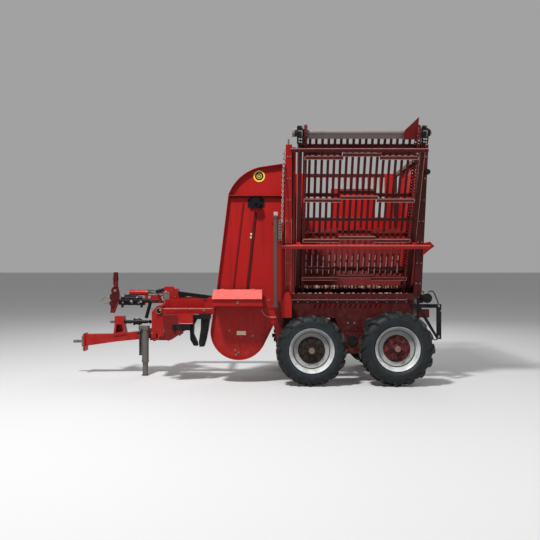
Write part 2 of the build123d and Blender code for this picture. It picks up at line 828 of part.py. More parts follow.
def bed_rod(x, along, out, radius, mode=Mode.ADD):
    """A round bar along X in the elevator's leaning frame."""
    with Locations(bed.location * Location(((x[0] + x[1]) / 2, along, out), (0, 90, 0))):
        Cylinder(radius, x[1] - x[0], mode=mode)


front_member = (elevator_front_x, elevator_front_x + member_width)
rear_member = (elevator_rear_x - member_width, elevator_rear_x)
with BuildPart() as elevator_frame:
    for x in (front_member, rear_member):
        bed_block(x, (-70, elevator_length + 50), (-member_depth / 2, member_depth / 2))
    for along in (300, 1100):
        bed_block((front_member[1], rear_member[0]), (along, along + 40), (-46, -6))
    bed_block((front_member[1], rear_member[0]), (2200, 2252), (-46, -6))
    for i in range(bed_bar_count):
        x = bed_bar_x + bed_bar_pitch * i
        bed_block((x, x + bed_bar_width), (200, elevator_length - 34), (-6, 6))
    bed_rod((elevator_front_x - 5, elevator_rear_x + 5), 0, 0, tail_shaft_r + 0.05, Mode.SUBTRACT)
    bed_rod((elevator_front_x - 5, elevator_rear_x + 5), elevator_length, 0, head_shaft_r + 0.05, Mode.SUBTRACT)
write(elevator_frame, "elevator_frame")

sprocket_r = chain_offset - chain_thickness / 2
with BuildPart() as tail_shaft:
    bed_rod((tank_front_x, tank_rear_x), 0, 0, tail_shaft_r)
    for x in (front_member[1] + 35, rear_member[0] - 60):
        bed_rod((x, x + 25), 0, 0, sprocket_r - 1)
write(tail_shaft, "tail_shaft")

with BuildPart() as head_shaft:
    bed_rod((elevator_front_x - 20, elevator_rear_x + 20), elevator_length, 0, head_shaft_r)
    for x in (front_member[1] + 35, rear_member[0] - 60):
        bed_rod((x, x + 25), elevator_length, 0, sprocket_r - 1)
    for x in (front_member, rear_member):
        bed_block(x, (elevator_length - 130, elevator_length + 50), (member_depth / 2, member_depth / 2 + 30))
        bed_block(x, (elevator_length + 50, elevator_length + 105), (-35, 35))
    bed_rod((elevator_front_x - 80, elevator_front_x - 20), elevator_length, 0, 62)
    bed_rod((elevator_rear_x + 20, elevator_rear_x + 60), elevator_length, 0, 50)
write(head_shaft, "head_shaft")

with BuildPart() as elevator_chains:
    for x in (front_member[1] + 35, rear_member[0] - 60):
        for r, mode in ((sprocket_r + chain_thickness, Mode.ADD), (sprocket_r, Mode.SUBTRACT)):
            bed_block((x, x + 25), (0, elevator_length), (-r, r), mode)
            bed_rod((x, x + 25), 0, 0, r, mode)
            bed_rod((x, x + 25), elevator_length, 0, r, mode)
write(elevator_chains, "elevator_chains")

chain_front = front_member[1] + 35
chain_rear = rear_member[0] - 60
third = (chain_rear + 25 - chain_front) / 3
with BuildPart() as elevator_flights:
    for side in (-1, 1):
        for i in range(flights_per_side):
            along = flight_start + flight_pitch * i
            low, high = sorted((side * (sprocket_r + chain_thickness), side * (sprocket_r + chain_thickness + flight_height)))
            top = along + flight_thickness
            bed_block((chain_front, chain_front + third + 8), (along, top), (low, high))
            bed_block((chain_front + third, chain_front + 2 * third), (along + 44, top + 44), (low, high))
            bed_block((chain_front + 2 * third - 8, chain_rear + 25), (along, top), (low, high))
write(elevator_flights, "elevator_flights")

with BuildPart() as lifting_beam:
    beam_top = outer_beam_along + outer_beam_height
    bed_block((480, 2700), (outer_beam_along, beam_top), (outer_beam_out, outer_beam_out + 60))
    with BuildSketch(bed.offset(outer_beam_out)) as tip:
        with BuildLine():
            Polyline(
                (2600, outer_beam_along - 130),
                (2690, outer_beam_along - 40),
                (2765, (outer_beam_along + beam_top) / 2),
                (2690, beam_top + 45),
                (2600, beam_top + 20),
                close=True,
            )
        make_face()
    extrude(tip.sketch, amount=16)
    for x in (front_member, rear_member):
        bed_block(x, (outer_beam_along, beam_top), (member_depth / 2, outer_beam_out))
    bed_block((482, 500), (beam_top, outer_beam_along + 390), (outer_beam_out + 10, outer_beam_out + 45))
write(lifting_beam, "lifting_beam")

with BuildPart() as head_guard:
    bed_block((600, 2620), (guard_along, guard_along + 52), (guard_out, guard_out + 30))
    for x in (front_member, rear_member):
        bed_block(x, (guard_along, guard_along + 52), (member_depth / 2, guard_out))
    with BuildSketch(bed.offset(40)) as plate:
        with BuildLine():
            Polyline(
                (head_plate_x[0], elevator_length - 90),
                (head_plate_x[1], elevator_length - 90),
                (head_plate_x[1], elevator_length + 225),
                (head_plate_x[0], elevator_length + 34),
                close=True,
            )
        make_face()
    extrude(plate.sketch, amount=8)
    bed_block(head_plate_x, (elevator_length - 90, elevator_length - 60), (6, 40))
    bed_block((835, 2375), (elevator_length - 76, elevator_length - 34), (6, 14))
write(head_guard, "head_guard")

with BuildPart() as lift_barrel:
    rod_z(cylinder_x, cylinder_y, barrel_r, (cylinder_bottom, cylinder_top))
    rod_z(cylinder_x, cylinder_y, lift_rod_r + slip, (cylinder_bottom + 300, cylinder_top + 10), Mode.SUBTRACT)
write(lift_barrel, "lift_barrel")

with BuildPart() as lift_rod:
    rod_z(cylinder_x, cylinder_y, lift_rod_r, (cylinder_bottom + 320, cylinder_top + 40))
    block((cylinder_x - 30, cylinder_x + 30), (cylinder_y - 14, cylinder_y + 14), (cylinder_top + 8, cylinder_top + 70))
write(lift_rod, "lift_rod")

with BuildPart() as lift_bracket:
    for z in ((cylinder_bottom + 10, cylinder_bottom + 90), (cylinder_top - 90, cylinder_top - 50)):
        block((cylinder_x - 50, cylinder_x + 50), (cylinder_y + barrel_r - 12, plate_near_y), z)
    rod_z(cylinder_x, cylinder_y, barrel_r, (cylinder_bottom - 10, cylinder_top + 10), Mode.SUBTRACT)
    side_shape([(560, 1376), (600, 1376), (640, 1262), (640, 990), (485, 990), (485, 1262)], (foot_y, housing_near_y))
    block((plate_front_x, 640), (housing_near_y, -plate_outer_y - 30), (1010, 1240))
    block((plate_front_x, 640), (-plate_outer_y - 30, -plate_outer_y), (1010, 1240))
write(lift_bracket, "lift_bracket")

# The lifting chain's strand beside the front post, from a pulley to its hook
with BuildPart() as lift_chain:
    block((chain_x, tank_front_x), (near_top_y + 8, near_top_y + 30), (3440, 3490))
    bar((chain_x + 12, near_top_y + 19, 3450), (chain_x - 17, -1062, 2440), 16, 16)
    block((chain_x - 28, chain_x - 6), (-1075, -1045), (2397, 2450))
write(lift_chain, "lift_chain")

# Rear end: post, motor and light bracket
bracket_y = (-plate_outer_y - 30, -plate_outer_y)
light_bracket_x = plate_rear_x + light_bracket_reach
bracket_x = light_bracket_x - 70
with BuildPart() as light_bracket:
    for y in (bracket_y, (-bracket_y[1], -bracket_y[0])):
        block((bracket_x, light_bracket_x), y, (656, 1188))
        block((plate_rear_x - 40, bracket_x), y, (1130, 1188))
        side_shape([(bracket_x, 656), (bracket_x, 722), (plate_rear_x + 110, 1130), (plate_rear_x + 52, 1130)], y)
write(light_bracket, "light_bracket")

with BuildPart() as rear_post:
    block((plate_rear_x, plate_rear_x + 55), (-plate_inner_y, -plate_inner_y + 40), (1006, tank_base_z))
write(rear_post, "rear_post")

# Drawbar with tow eye, shaft pedestal and parking jack
eye_x = -half_length + eye_ring_r
flange_x = eye_x + 111
nose_x = flange_x + 50
beam_span = drawbar_pin_x - nose_x
waist_x = nose_x + 0.463 * beam_span
swell_x = nose_x + 0.772 * beam_span
pedestal_x = nose_x + 0.496 * beam_span
with BuildPart() as drawbar:
    side_shape(
        [
            (nose_x, 464),
            (waist_x, 538),
            (swell_x, 571),
            (drawbar_pin_x - 55, 592),
            (drawbar_pin_x, 592),
            (drawbar_pin_x, 716),
            (drawbar_pin_x - 55, 716),
            (swell_x, 702),
            (waist_x, 661),
            (nose_x, 653),
        ],
        (drawbar_y - drawbar_width / 2, drawbar_y + drawbar_width / 2),
    )
    rod_z(drawbar_pin_x, drawbar_y, drawbar_width / 2, (592, 716))
    rod_z(drawbar_pin_x, drawbar_y, drawbar_pin_r + 0.05, (560, 760), Mode.SUBTRACT)
    block((nose_x - 30, nose_x), (drawbar_y - 90, drawbar_y + 90), (382, 669))
    side_shape(
        [
            (pedestal_x - 97, 630),
            (pedestal_x - 75, 812),
            (pedestal_x - 75, 949),
            (pedestal_x + 75, 949),
            (pedestal_x + 75, 812),
            (pedestal_x + 111, 660),
        ],
        (drawbar_y - drawbar_width / 2 - 18, drawbar_y + drawbar_width / 2 + 18),
    )
    side_shape(
        [
            (pedestal_x - 57, 680),
            (pedestal_x - 43, 816),
            (pedestal_x + 49, 816),
            (pedestal_x + 63, 700),
        ],
        (drawbar_y - drawbar_width / 2 - 20, drawbar_y + drawbar_width / 2),
        Mode.SUBTRACT,
    )
write(drawbar, "drawbar")

with BuildPart() as tow_eye:
    block((eye_x, flange_x), (drawbar_y - 30, drawbar_y + 30), (eye_z - 18, eye_z + 18))
    block((flange_x - 8, flange_x + 20), (drawbar_y - 80, drawbar_y + 80), (eye_z - 80, eye_z + 90))
    rod_z(eye_x, drawbar_y, eye_ring_r, (eye_z - 18, eye_z + 18))
    rod_z(eye_x, drawbar_y, eye_bore_r, (eye_z - 40, eye_z + 40), Mode.SUBTRACT)
write(tow_eye, "tow_eye")

shaft_start = pedestal_x + 75
shaft_span = drawbar_pin_x - shaft_start
with BuildPart() as drive_shaft:
    rod_x(drawbar_y, shaft_z, 17.5, (pedestal_x - 160, pedestal_x - 75))
    rod_x(drawbar_y, shaft_z, 22, (shaft_start, shaft_start + 0.36 * shaft_span))
    rod_x(drawbar_y, shaft_z, 46, (shaft_start + 0.35 * shaft_span, shaft_start + 0.58 * shaft_span))
    rod_x(drawbar_y, shaft_z, 15, (shaft_start + 0.57 * shaft_span, drawbar_pin_x - 41))
write(drive_shaft, "drive_shaft")


with BuildPart() as jack_tube:
    rod_z(jack_x, jack_y, jack_outer_r, (jack_bottom, 760))
    rod_z(jack_x, jack_y, jack_inner_r + slip, (jack_bottom - 10, 730), Mode.SUBTRACT)
    block((jack_x - 100, jack_x + 54), (jack_y - 58, drawbar_y - drawbar_width / 2), (740, 800))
    block((jack_x - 100, jack_x - 50), (jack_y + 10, drawbar_y - drawbar_width / 2), (590, 740))
    block((jack_x + 40, jack_x + 54), (jack_y + 10, drawbar_y - drawbar_width / 2), (600, 740))
    block((jack_x - 98, jack_x - 50), (jack_y - 8, jack_y + 10), (325, 740))
    rod_z(jack_x, jack_y, jack_inner_r + slip, (jack_bottom - 10, 730), Mode.SUBTRACT)
write(jack_tube, "jack_tube")

with BuildPart() as jack_leg:
    rod_z(jack_x, jack_y, jack_inner_r, (jack_foot_thickness, 520))
    rod_z(jack_x, jack_y, 60, (0, jack_foot_thickness))
write(jack_leg, "jack_leg")
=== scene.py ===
import math
import random

import bmesh
import bpy
from bpy.props import FloatProperty, FloatVectorProperty, IntProperty, PointerProperty
from mathutils import Matrix, Vector


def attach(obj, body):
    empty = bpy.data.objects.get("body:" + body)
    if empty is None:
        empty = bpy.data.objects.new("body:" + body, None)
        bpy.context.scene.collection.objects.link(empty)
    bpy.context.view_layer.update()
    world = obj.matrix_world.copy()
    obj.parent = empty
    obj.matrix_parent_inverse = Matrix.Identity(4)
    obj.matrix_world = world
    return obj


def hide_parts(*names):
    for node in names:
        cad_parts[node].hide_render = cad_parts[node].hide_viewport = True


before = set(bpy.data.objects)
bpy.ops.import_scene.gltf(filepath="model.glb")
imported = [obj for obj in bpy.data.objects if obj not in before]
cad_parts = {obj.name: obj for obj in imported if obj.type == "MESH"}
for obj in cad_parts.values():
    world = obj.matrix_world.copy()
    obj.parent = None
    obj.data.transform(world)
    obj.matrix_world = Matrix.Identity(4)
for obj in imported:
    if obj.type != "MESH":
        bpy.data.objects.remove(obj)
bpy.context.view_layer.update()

bl_info = {
    "name": "Sugar beet harvester",
    "version": (1, 0, 0),
    "blender": (4, 5, 0),
    "location": "View3D > Sidebar > Harvester",
    "description": "Dresses the CAD model of a trailed sugar beet harvester",
    "category": "Add Mesh",
}

# Places shared with the CAD model, in metres. MID is the wheels' middle line.
MID = 0.18151
WHEEL_Y = 1.007
WHEELS = (
    # name, body, axle X, side, outer radius, carcass radius, tyre width
    ("front_left", "wheel_front_left", 0.925, -1, 0.525, 0.497, 0.240),
    ("rear_left", "wheel_rear_left", 2.177, -1, 0.552, 0.517, 0.284),
    ("front_right", "wheel_front_right", 0.925, 1, 0.525, 0.497, 0.240),
    ("rear_right", "wheel_rear_right", 2.177, 1, 0.552, 0.517, 0.284),
)
RIM_SEAT_R = 0.300
RIM_FLANGE_R = 0.330
RIM_HALF_WIDTH = 0.108
HUB_NUT_CIRCLE = 0.098

# The camera's place in millimetres, its focal length in pixels and half the frame in pixels
CAMERA_X, CAMERA_BACK, CAMERA_Z = 315, 10350, 1705
FOCAL = 634.5
HALF_FRAME = 270

# The unloading elevator's tail shaft in millimetres, and its bed's lean
TAIL_Y, TAIL_Z, TAIL_SHAFT_R = -420, 1440, 30.0
LEAN_SIN = math.sin(math.radians(25))
LEAN_COS = math.cos(math.radians(25))


def at(x, y, z):
    """A point from X, Y beside the wheels' middle line and Z, all in millimetres."""
    return Vector((x / 1000, MID + y / 1000, z / 1000))


def seen(px, py, y):
    """The place at a given Y that the camera sees at a point of the 540-pixel frame."""
    scale = (CAMERA_BACK + y) / FOCAL
    return at(CAMERA_X + (px - HALF_FRAME) * scale, y, CAMERA_Z - (py - HALF_FRAME) * scale)


def bed(x, along, out):
    """A point in the leaning frame of the unloading elevator."""
    return at(x, TAIL_Y - LEAN_SIN * along - LEAN_COS * out, TAIL_Z + LEAN_COS * along - LEAN_SIN * out)


# Materials


class Coat:
    """One material that is built up in layers over object coordinates."""

    def __init__(self, name, colour, roughness, metallic=0.0):
        self.material = bpy.data.materials.new(name)
        self.material.use_nodes = True
        self.nodes = self.material.node_tree.nodes
        self.links = self.material.node_tree.links
        self.nodes.clear()
        self.shader = self.nodes.new("ShaderNodeBsdfPrincipled")
        output = self.nodes.new("ShaderNodeOutputMaterial")
        self.links.new(self.shader.outputs[0], output.inputs[0])
        self.coords = self.nodes.new("ShaderNodeTexCoord").outputs["Object"]
        self.shader.inputs["Metallic"].default_value = metallic
        self.colour = self.constant(colour)
        self.roughness = roughness
        self.height = None

    def feed(self, socket, value):
        """Sets a socket to a number, or links it to another socket."""
        if isinstance(value, (int, float)):
            socket.default_value = value
        else:
            self.links.new(value, socket)

    def constant(self, colour):
        node = self.nodes.new("ShaderNodeRGB")
        node.outputs[0].default_value = (*colour, 1)
        return node.outputs[0]

    def mapped(self, move=(0, 0, 0), scale=(1, 1, 1)):
        """Object coordinates moved by minus the given place and stretched."""
        node = self.nodes.new("ShaderNodeMapping")
        node.vector_type = "POINT"
        node.inputs["Location"].default_value = [-m * s for m, s in zip(move, scale)]
        node.inputs["Scale"].default_value = scale
        self.links.new(self.coords, node.inputs["Vector"])
        return node.outputs[0]

    def range(self, value, low, high):
        """0 at the low value and 1 at the high one."""
        node = self.nodes.new("ShaderNodeMapRange")
        node.inputs["From Min"].default_value = low
        node.inputs["From Max"].default_value = high
        self.links.new(value, node.inputs["Value"])
        return node.outputs[0]

    def maths(self, kind, a, b=None):
        node = self.nodes.new("ShaderNodeMath")
        node.operation = kind
        for socket, value in zip(node.inputs, (a, b)):
            if value is not None:
                self.feed(socket, value)
        return node.outputs[0]

    def noise(self, scale, low=0.45, high=0.6, stretch=(1, 1, 1), detail=5, rough=0.6):
        node = self.nodes.new("ShaderNodeTexNoise")
        node.inputs["Scale"].default_value = scale
        node.inputs["Detail"].default_value = detail
        node.inputs["Roughness"].default_value = rough
        self.links.new(self.mapped(scale=stretch), node.inputs["Vector"])
        return self.range(node.outputs["Fac"], low, high)

    def above(self, low, high):
        """0 under a height and 1 over another, in metres from the ground."""
        split = self.nodes.new("ShaderNodeSeparateXYZ")
        self.links.new(self.coords, split.inputs[0])
        return self.range(split.outputs["Z"], low, high)

    def facing_up(self, low=0.3, high=0.95):
        geometry = self.nodes.new("ShaderNodeNewGeometry")
        split = self.nodes.new("ShaderNodeSeparateXYZ")
        self.links.new(geometry.outputs["Normal"], split.inputs[0])
        return self.range(split.outputs["Z"], low, high)

    def radius(self, x, z):
        """Distance from a line along Y."""
        split = self.nodes.new("ShaderNodeSeparateXYZ")
        self.links.new(self.mapped(move=(x, 0, z)), split.inputs[0])
        squares = [self.maths("POWER", self.maths("ABSOLUTE", split.outputs[k]), 2.0) for k in ("X", "Z")]
        return self.maths("SQRT", self.maths("ADD", *squares))

    def layer(self, factor, colour, roughness):
        """Lays another colour and roughness over the coat where the factor is high."""
        mix = self.nodes.new("ShaderNodeMix")
        mix.data_type = "RGBA"
        self.links.new(factor, mix.inputs[0])
        self.links.new(self.colour, mix.inputs[6])
        self.links.new(self.constant(colour), mix.inputs[7])
        self.colour = mix.outputs[2]
        blend = self.nodes.new("ShaderNodeMix")
        blend.data_type = "FLOAT"
        self.links.new(factor, blend.inputs[0])
        self.feed(blend.inputs[2], self.roughness)
        blend.inputs[3].default_value = roughness
        self.roughness = blend.outputs[0]

    def relief(self, value, distance, strength=1.0):
        """Adds bumps, as high as the distance in metres."""
        bump = self.nodes.new("ShaderNodeBump")
        bump.inputs["Strength"].default_value = strength
        bump.inputs["Distance"].default_value = distance
        self.links.new(value, bump.inputs["Height"])
        if self.height is not None:
            self.links.new(self.height, bump.inputs["Normal"])
        self.height = bump.outputs[0]

    def done(self):
        self.links.new(self.colour, self.shader.inputs["Base Color"])
        self.feed(self.shader.inputs["Roughness"], self.roughness)
        if self.height is not None:
            self.links.new(self.height, self.shader.inputs["Normal"])
        return self.material


DUST = (0.20, 0.135, 0.085)
RUST = (0.13, 0.045, 0.018)
COATS = {}


def painted(name, colour, faded, roughness, fade, dirt, wear, gloss):
    """Old gloss paint: sun-faded on top, dusty low down, rubbed to rust in specks and streaks."""
    coat = Coat(name, colour, roughness)
    coat.shader.inputs["Specular IOR Level"].default_value = gloss
    patches = coat.noise(1.7, 0.40, 0.70)
    coat.layer(coat.maths("MULTIPLY", patches, 0.30 * fade), faded, roughness + 0.1)
    coat.layer(coat.maths("MULTIPLY", coat.facing_up(), 0.55 * fade), faded, roughness + 0.15)
    streaks = coat.noise(8, 0.52, 0.74, stretch=(1, 1, 0.10))
    dark = tuple(c * 0.45 for c in colour)
    coat.layer(coat.maths("MULTIPLY", streaks, 0.50), dark, roughness + 0.12)
    low = coat.maths("SUBTRACT", 1.0, coat.above(0.35, 1.3))
    splash = coat.maths("MULTIPLY", coat.noise(13, 0.46, 0.66), coat.maths("ADD", low, 0.12))
    coat.layer(coat.maths("MULTIPLY", splash, dirt), DUST, 0.85)
    chips = coat.noise(60, 0.66 - 0.05 * wear, 0.70 - 0.05 * wear, detail=7, rough=0.7)
    coat.layer(coat.maths("MULTIPLY", chips, 0.70 * wear), RUST, 0.8)
    coat.relief(coat.noise(160, 0.3, 0.7), 0.0004, 0.35)
    coat.relief(coat.noise(4, 0.3, 0.7), 0.004, 0.20)
    return coat.done()


def bare_metal(name, colour, roughness, rust):
    """Unpainted steel with brown rust patches."""
    coat = Coat(name, colour, roughness, metallic=0.65)
    coat.layer(coat.maths("MULTIPLY", coat.noise(28, 0.45, 0.62), rust), RUST, 0.85)
    coat.layer(coat.maths("MULTIPLY", coat.noise(7, 0.45, 0.7), 0.4), DUST, 0.85)
    coat.relief(coat.noise(220, 0.3, 0.7), 0.0004, 0.5)
    return coat.done()


def tyre_rubber(name, x, z):
    """Bluish black rubber with moulded rings, dust and dried soil on the tread."""
    coat = Coat(name, (0.007, 0.009, 0.010), 0.55)
    coat.shader.inputs["Specular IOR Level"].default_value = 0.25
    radius = coat.radius(x, z)
    coat.layer(coat.maths("MULTIPLY", coat.noise(14, 0.42, 0.66), 0.40), (0.026, 0.031, 0.033), 0.8)
    tread = coat.range(radius, z - 0.055, z - 0.01)
    soiled = coat.maths("MULTIPLY", tread, 0.16)
    coat.layer(coat.maths("MULTIPLY", coat.noise(34, 0.45, 0.62), soiled), DUST, 0.9)
    bead = coat.range(radius, 0.40, 0.345)
    coat.layer(coat.maths("MULTIPLY", bead, 0.35), (0.030, 0.045, 0.062), 0.5)
    coat.relief(coat.maths("SINE", coat.maths("MULTIPLY", radius, 520.0)), 0.0007, 0.35)
    coat.relief(coat.noise(300, 0.3, 0.7), 0.0005, 0.5)
    return coat.done()


def rim_paint(name, x, z, hub, hub_dirt):
    """Grey rim enamel with painted shade above the axle at rest, a grooved disc and a hub of another colour.
    """
    coat = Coat(name, (0.54, 0.56, 0.55), 0.35)
    coat.shader.inputs["Specular IOR Level"].default_value = 0.3
    radius = coat.radius(x, z)
    coat.layer(coat.range(radius, 0.278, 0.272), (0.035, 0.036, 0.038), 0.6)
    coat.layer(coat.range(radius, 0.262, 0.256), (0.33, 0.335, 0.33), 0.45)
    # Painted shade: the upper half is darkened at rest and turns with the wheel
    coat.layer(coat.maths("MULTIPLY", coat.above(z - 0.12, z + 0.16), 0.62), (0.115, 0.12, 0.125), 0.5)
    coat.layer(coat.maths("MULTIPLY", coat.noise(10, 0.45, 0.70), 0.45), (0.11, 0.10, 0.09), 0.7)
    coat.layer(coat.range(radius, 0.204, 0.196), hub, 0.55)
    inside = coat.range(radius, 0.202, 0.196)
    coat.layer(coat.maths("MULTIPLY", coat.noise(20, 0.42, 0.56), inside), hub_dirt, 0.85)
    coat.layer(coat.maths("MULTIPLY", coat.range(radius, 0.047, 0.041), 0.85), (0.17, 0.115, 0.09), 0.5)
    coat.layer(coat.maths("MULTIPLY", coat.noise(70, 0.58, 0.64), 0.5), RUST, 0.85)
    coat.relief(coat.noise(180, 0.3, 0.7), 0.0005, 0.4)
    return coat.done()


def make_coats(colours):
    red, faded = tuple(colours.red), tuple(colours.faded_red)
    wall_red = [1.4 * share for share in red]
    dirty_and_shaded, painted_shade, rusted_and_shaded = tuple(colours.shaded_red), tuple(colours.maroon), tuple(colours.brown)
    lid, black, grey = tuple(colours.lid_red), tuple(colours.black), tuple(colours.grey)
    board, cylinder = (0.165, 0.135, 0.128), (0.075, 0.035, 0.03)
    for key, name, colour, light, *finish in (
        # key, name, colour, faded colour, then roughness, fade, dirt, wear and gloss
        ("red", "red enamel", red, faded, 0.34, 0.30, 0.12, 0.35, 0.22),
        # Painted light: a brighter copy of the red for the sunlit tank walls
        ("wall_red", "tank wall enamel", wall_red, faded, 0.34, 0.30, 0.12, 0.35, 0.22),
        ("lid_red", "faded lid enamel", lid, (0.70, 0.22, 0.19), 0.5, 0.8, 0.15, 0.5, 0.2),
        # Dirt and painted shade: a darker copy of the red
        ("shaded_red", "dirty red enamel", dirty_and_shaded, faded, 0.5, 0.12, 0.07, 0.6, 0.18),
        # Painted shade: a much darker copy of the red
        ("maroon", "sooty red enamel", painted_shade, (0.13, 0.015, 0.015), 0.5, 0.4, 0.18, 0.7, 0.18),
        # Rust, darkened further for painted shade on the low flights and chains
        ("brown", "rusted rail steel", rusted_and_shaded, (0.14, 0.045, 0.035), 0.62, 0.5, 0.3, 1.0, 0.2),
        ("board", "weathered board steel", board, (0.26, 0.21, 0.19), 0.6, 0.7, 0.4, 0.7, 0.3),
        # Light strips of rubbed wear and painted highlight, also used for soil
        ("edge", "rubbed edges and painted highlights", (0.48, 0.20, 0.17), (0.7, 0.55, 0.5), 0.45, 0.6, 0.2, 1.2, 0.3),
        ("black", "black enamel", black, (0.028, 0.028, 0.032), 0.36, 0.3, 0.10, 0.3, 0.14),
        ("grey", "grey enamel", grey, (0.20, 0.195, 0.19), 0.42, 0.5, 0.25, 0.7, 0.3),
        ("barrel", "dull cylinder enamel", cylinder, (0.18, 0.12, 0.10), 0.45, 0.6, 0.5, 0.8, 0.3),
        ("cream", "blank cream plate", (0.62, 0.50, 0.34), (0.7, 0.6, 0.5), 0.5, 0.4, 0.3, 0.5, 0.3),
        ("yellow", "yellow badge enamel", (0.62, 0.42, 0.06), (0.7, 0.5, 0.2), 0.4, 0.3, 0.1, 0.2, 0.3),
        ("hose", "hose rubber", (0.012, 0.012, 0.013), (0.04, 0.038, 0.036), 0.5, 0.4, 0.15, 0.0, 0.2),
        ("web", "web rubber", (0.02, 0.02, 0.02), (0.07, 0.06, 0.05), 0.75, 0.6, 0.5, 0.0, 0.3),
    ):
        COATS[key] = painted(name, colour, light, *finish)
    for key, name, colour, roughness, rust in (
        ("steel", "bare steel", (0.20, 0.185, 0.17), 0.42, 0.5),
        ("zinc", "zinc plated steel", (0.42, 0.41, 0.39), 0.34, 0.2),
        ("chrome", "rod chrome", (0.62, 0.61, 0.59), 0.2, 0.1),
    ):
        COATS[key] = bare_metal(name, colour, roughness, rust)
    for place, x, z, hub, dirt in (
        ("front", 0.925, 0.525, (0.016, 0.010, 0.008), (0.003, 0.003, 0.003)),
        ("rear", 2.177, 0.552, (0.11, 0.006, 0.006), (0.010, 0.004, 0.004)),
    ):
        COATS[f"tyre_{place}"] = tyre_rubber(f"{place} tyre rubber", x, z)
        COATS[f"rim_{place}"] = rim_paint(f"{place} rim enamel", x, z, hub, dirt)


# The CAD nodes by the coat they get, apart from tyres and rims
NODE_COATS = {
    "red": (
        "front_box side_beam gearbox toolbox elevator_housing drawbar control_cylinder "
        "lifting_beam tank_front_frame chassis_rails lift_bracket head_guard"
    ),
    "lid_red": "toolbox_lid",
    # Parts in dirt and painted shade
    "shaded_red": "topper_hood cross_members control_lever rotor_arms tank_hopper",
    # Parts in painted shade
    "maroon": "elevator_frame tank_rear_frame tank_rails tank_side_plates walking_beams",
    # Tank walls in painted light
    "wall_red": "tank_walls",
    # Rust with painted shade
    "brown": "elevator_flights elevator_chains tail_shaft",
    "board": "head_shaft",
    "black": (
        "control_arm hydraulic_motors light_bracket topper_rotor lifting_shares drive_shaft "
        "beam_pivot elevator_shaft"
    ),
    "grey": "jack_tube jack_leg rear_post",
    "barrel": "lift_barrel",
    "steel": "tow_eye lift_chain",
    "chrome": "lift_rod",
    "web": "lift_web web_rollers cleaning_rotor",
}


# Mesh helpers


def finished(name, mesh, coat, body):
    """A plain mesh object at the origin that rides on a body."""
    piece = bpy.data.objects.new(name, mesh)
    bpy.context.scene.collection.objects.link(piece)
    mesh.materials.clear()
    mesh.materials.append(COATS[coat])
    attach(piece, body)
    return piece


def mesh_of(bm, name, smooth_angle=0.6):
    bmesh.ops.remove_doubles(bm, verts=bm.verts, dist=0.00001)
    bmesh.ops.recalc_face_normals(bm, faces=bm.faces)
    for face in bm.faces:
        face.smooth = True
    for edge in bm.edges:
        edge.smooth = edge.is_manifold and edge.calc_face_angle(0) < smooth_angle
    mesh = bpy.data.meshes.new(name)
    bm.to_mesh(mesh)
    bm.free()
    return mesh


def add_box(bm, low, high, bevel=0.0):
    size = [end - start for start, end in zip(low, high)]
    middle = Vector([(end + start) / 2 for start, end in zip(low, high)])
    place = Matrix.Translation(middle) @ Matrix.Diagonal((*size, 1))
    if not bevel:
        bmesh.ops.create_cube(bm, size=1, matrix=place)
        return
    # Bevelled in a mesh of its own, because what follows a bevel in the same one changes order each run
    box = bmesh.new()
    bmesh.ops.create_cube(box, size=1, matrix=place)
    bmesh.ops.bevel(box, geom=list(box.edges), offset=bevel, segments=2, affect="EDGES")
    mesh = bpy.data.meshes.new("box")
    box.to_mesh(mesh)
    box.free()
    bm.from_mesh(mesh)
    bpy.data.meshes.remove(mesh)


def add_rod(bm, start, end, radius, end_radius=None, segments=20):
    """A round bar between two points."""
    start, end = Vector(start), Vector(end)
    turn = (end - start).to_track_quat("Z", "Y").to_matrix().to_4x4()
    bmesh.ops.create_cone(
        bm,
        cap_ends=True,
        segments=segments,
        radius1=radius,
        radius2=radius if end_radius is None else end_radius,
        depth=(end - start).length,
        matrix=Matrix.Translation((start + end) / 2) @ turn,
    )


def add_hull(bm, points):
    """A closed convex block round some points."""
    verts = [bm.verts.new(p) for p in points]
    made = bmesh.ops.convex_hull(bm, input=verts)
    loose = dict.fromkeys(made["geom_interior"] + made["geom_unused"])
    bmesh.ops.delete(bm, geom=list(loose), context="VERTS")


def add_sheet(bm, y, corners, out, back=0.001, bevel=0.0):
    """A thin plate over a rectangle as seen at a Y, standing out to the near side and reaching back."""
    left, right, top, bottom = corners
    low, high = seen(left, bottom, y), seen(right, top, y)
    add_box(bm, (low.x, low.y - out, low.z), (high.x, low.y + back, high.z), bevel)


def add_bed_box(bm, x, along, out):
    """A block in the elevator's leaning frame."""
    add_hull(bm, [bed(p, q, r) for p in x for q in along for r in out])


def add_plate(bm, points, shift):
    """A flat outline with a thickness."""
    shift = Vector(shift)
    low = [bm.verts.new(p) for p in points]
    high = [bm.verts.new(Vector(p) + shift) for p in points]
    bm.faces.new(low)
    bm.faces.new(reversed(high))
    for i in range(len(low)):
        j = (i + 1) % len(low)
        bm.faces.new((low[i], high[i], high[j], low[j]))


def add_turned(bm, centre, profile, steps=64, axis="Y"):
    """A closed ring or disc turned about a line through the centre; the profile gives offset and radius."""
    rings = []
    for i in range(steps):
        angle = math.tau * i / steps
        ring = []
        for offset, r in profile:
            across, up = r * math.cos(angle), r * math.sin(angle)
            place = {"Y": (across, offset, up), "X": (offset, across, up), "Z": (across, up, offset)}[axis]
            ring.append(bm.verts.new(centre + Vector(place)))
        rings.append(ring)
    count = len(profile)
    for i in range(steps):
        here, there = rings[i], rings[(i + 1) % steps]
        for j in range(count):
            k = (j + 1) % count
            if profile[j][1] < 0.00001 and profile[k][1] < 0.00001:
                continue
            bm.faces.new((here[j], here[k], there[k], there[j]))


def add_collar(bm, centre, bore, radius, depth, axis, steps):
    """A plain ring from the centre along the axis."""
    add_turned(bm, centre, ((0, bore), (0, radius), (depth, radius), (depth, bore)), steps, axis)


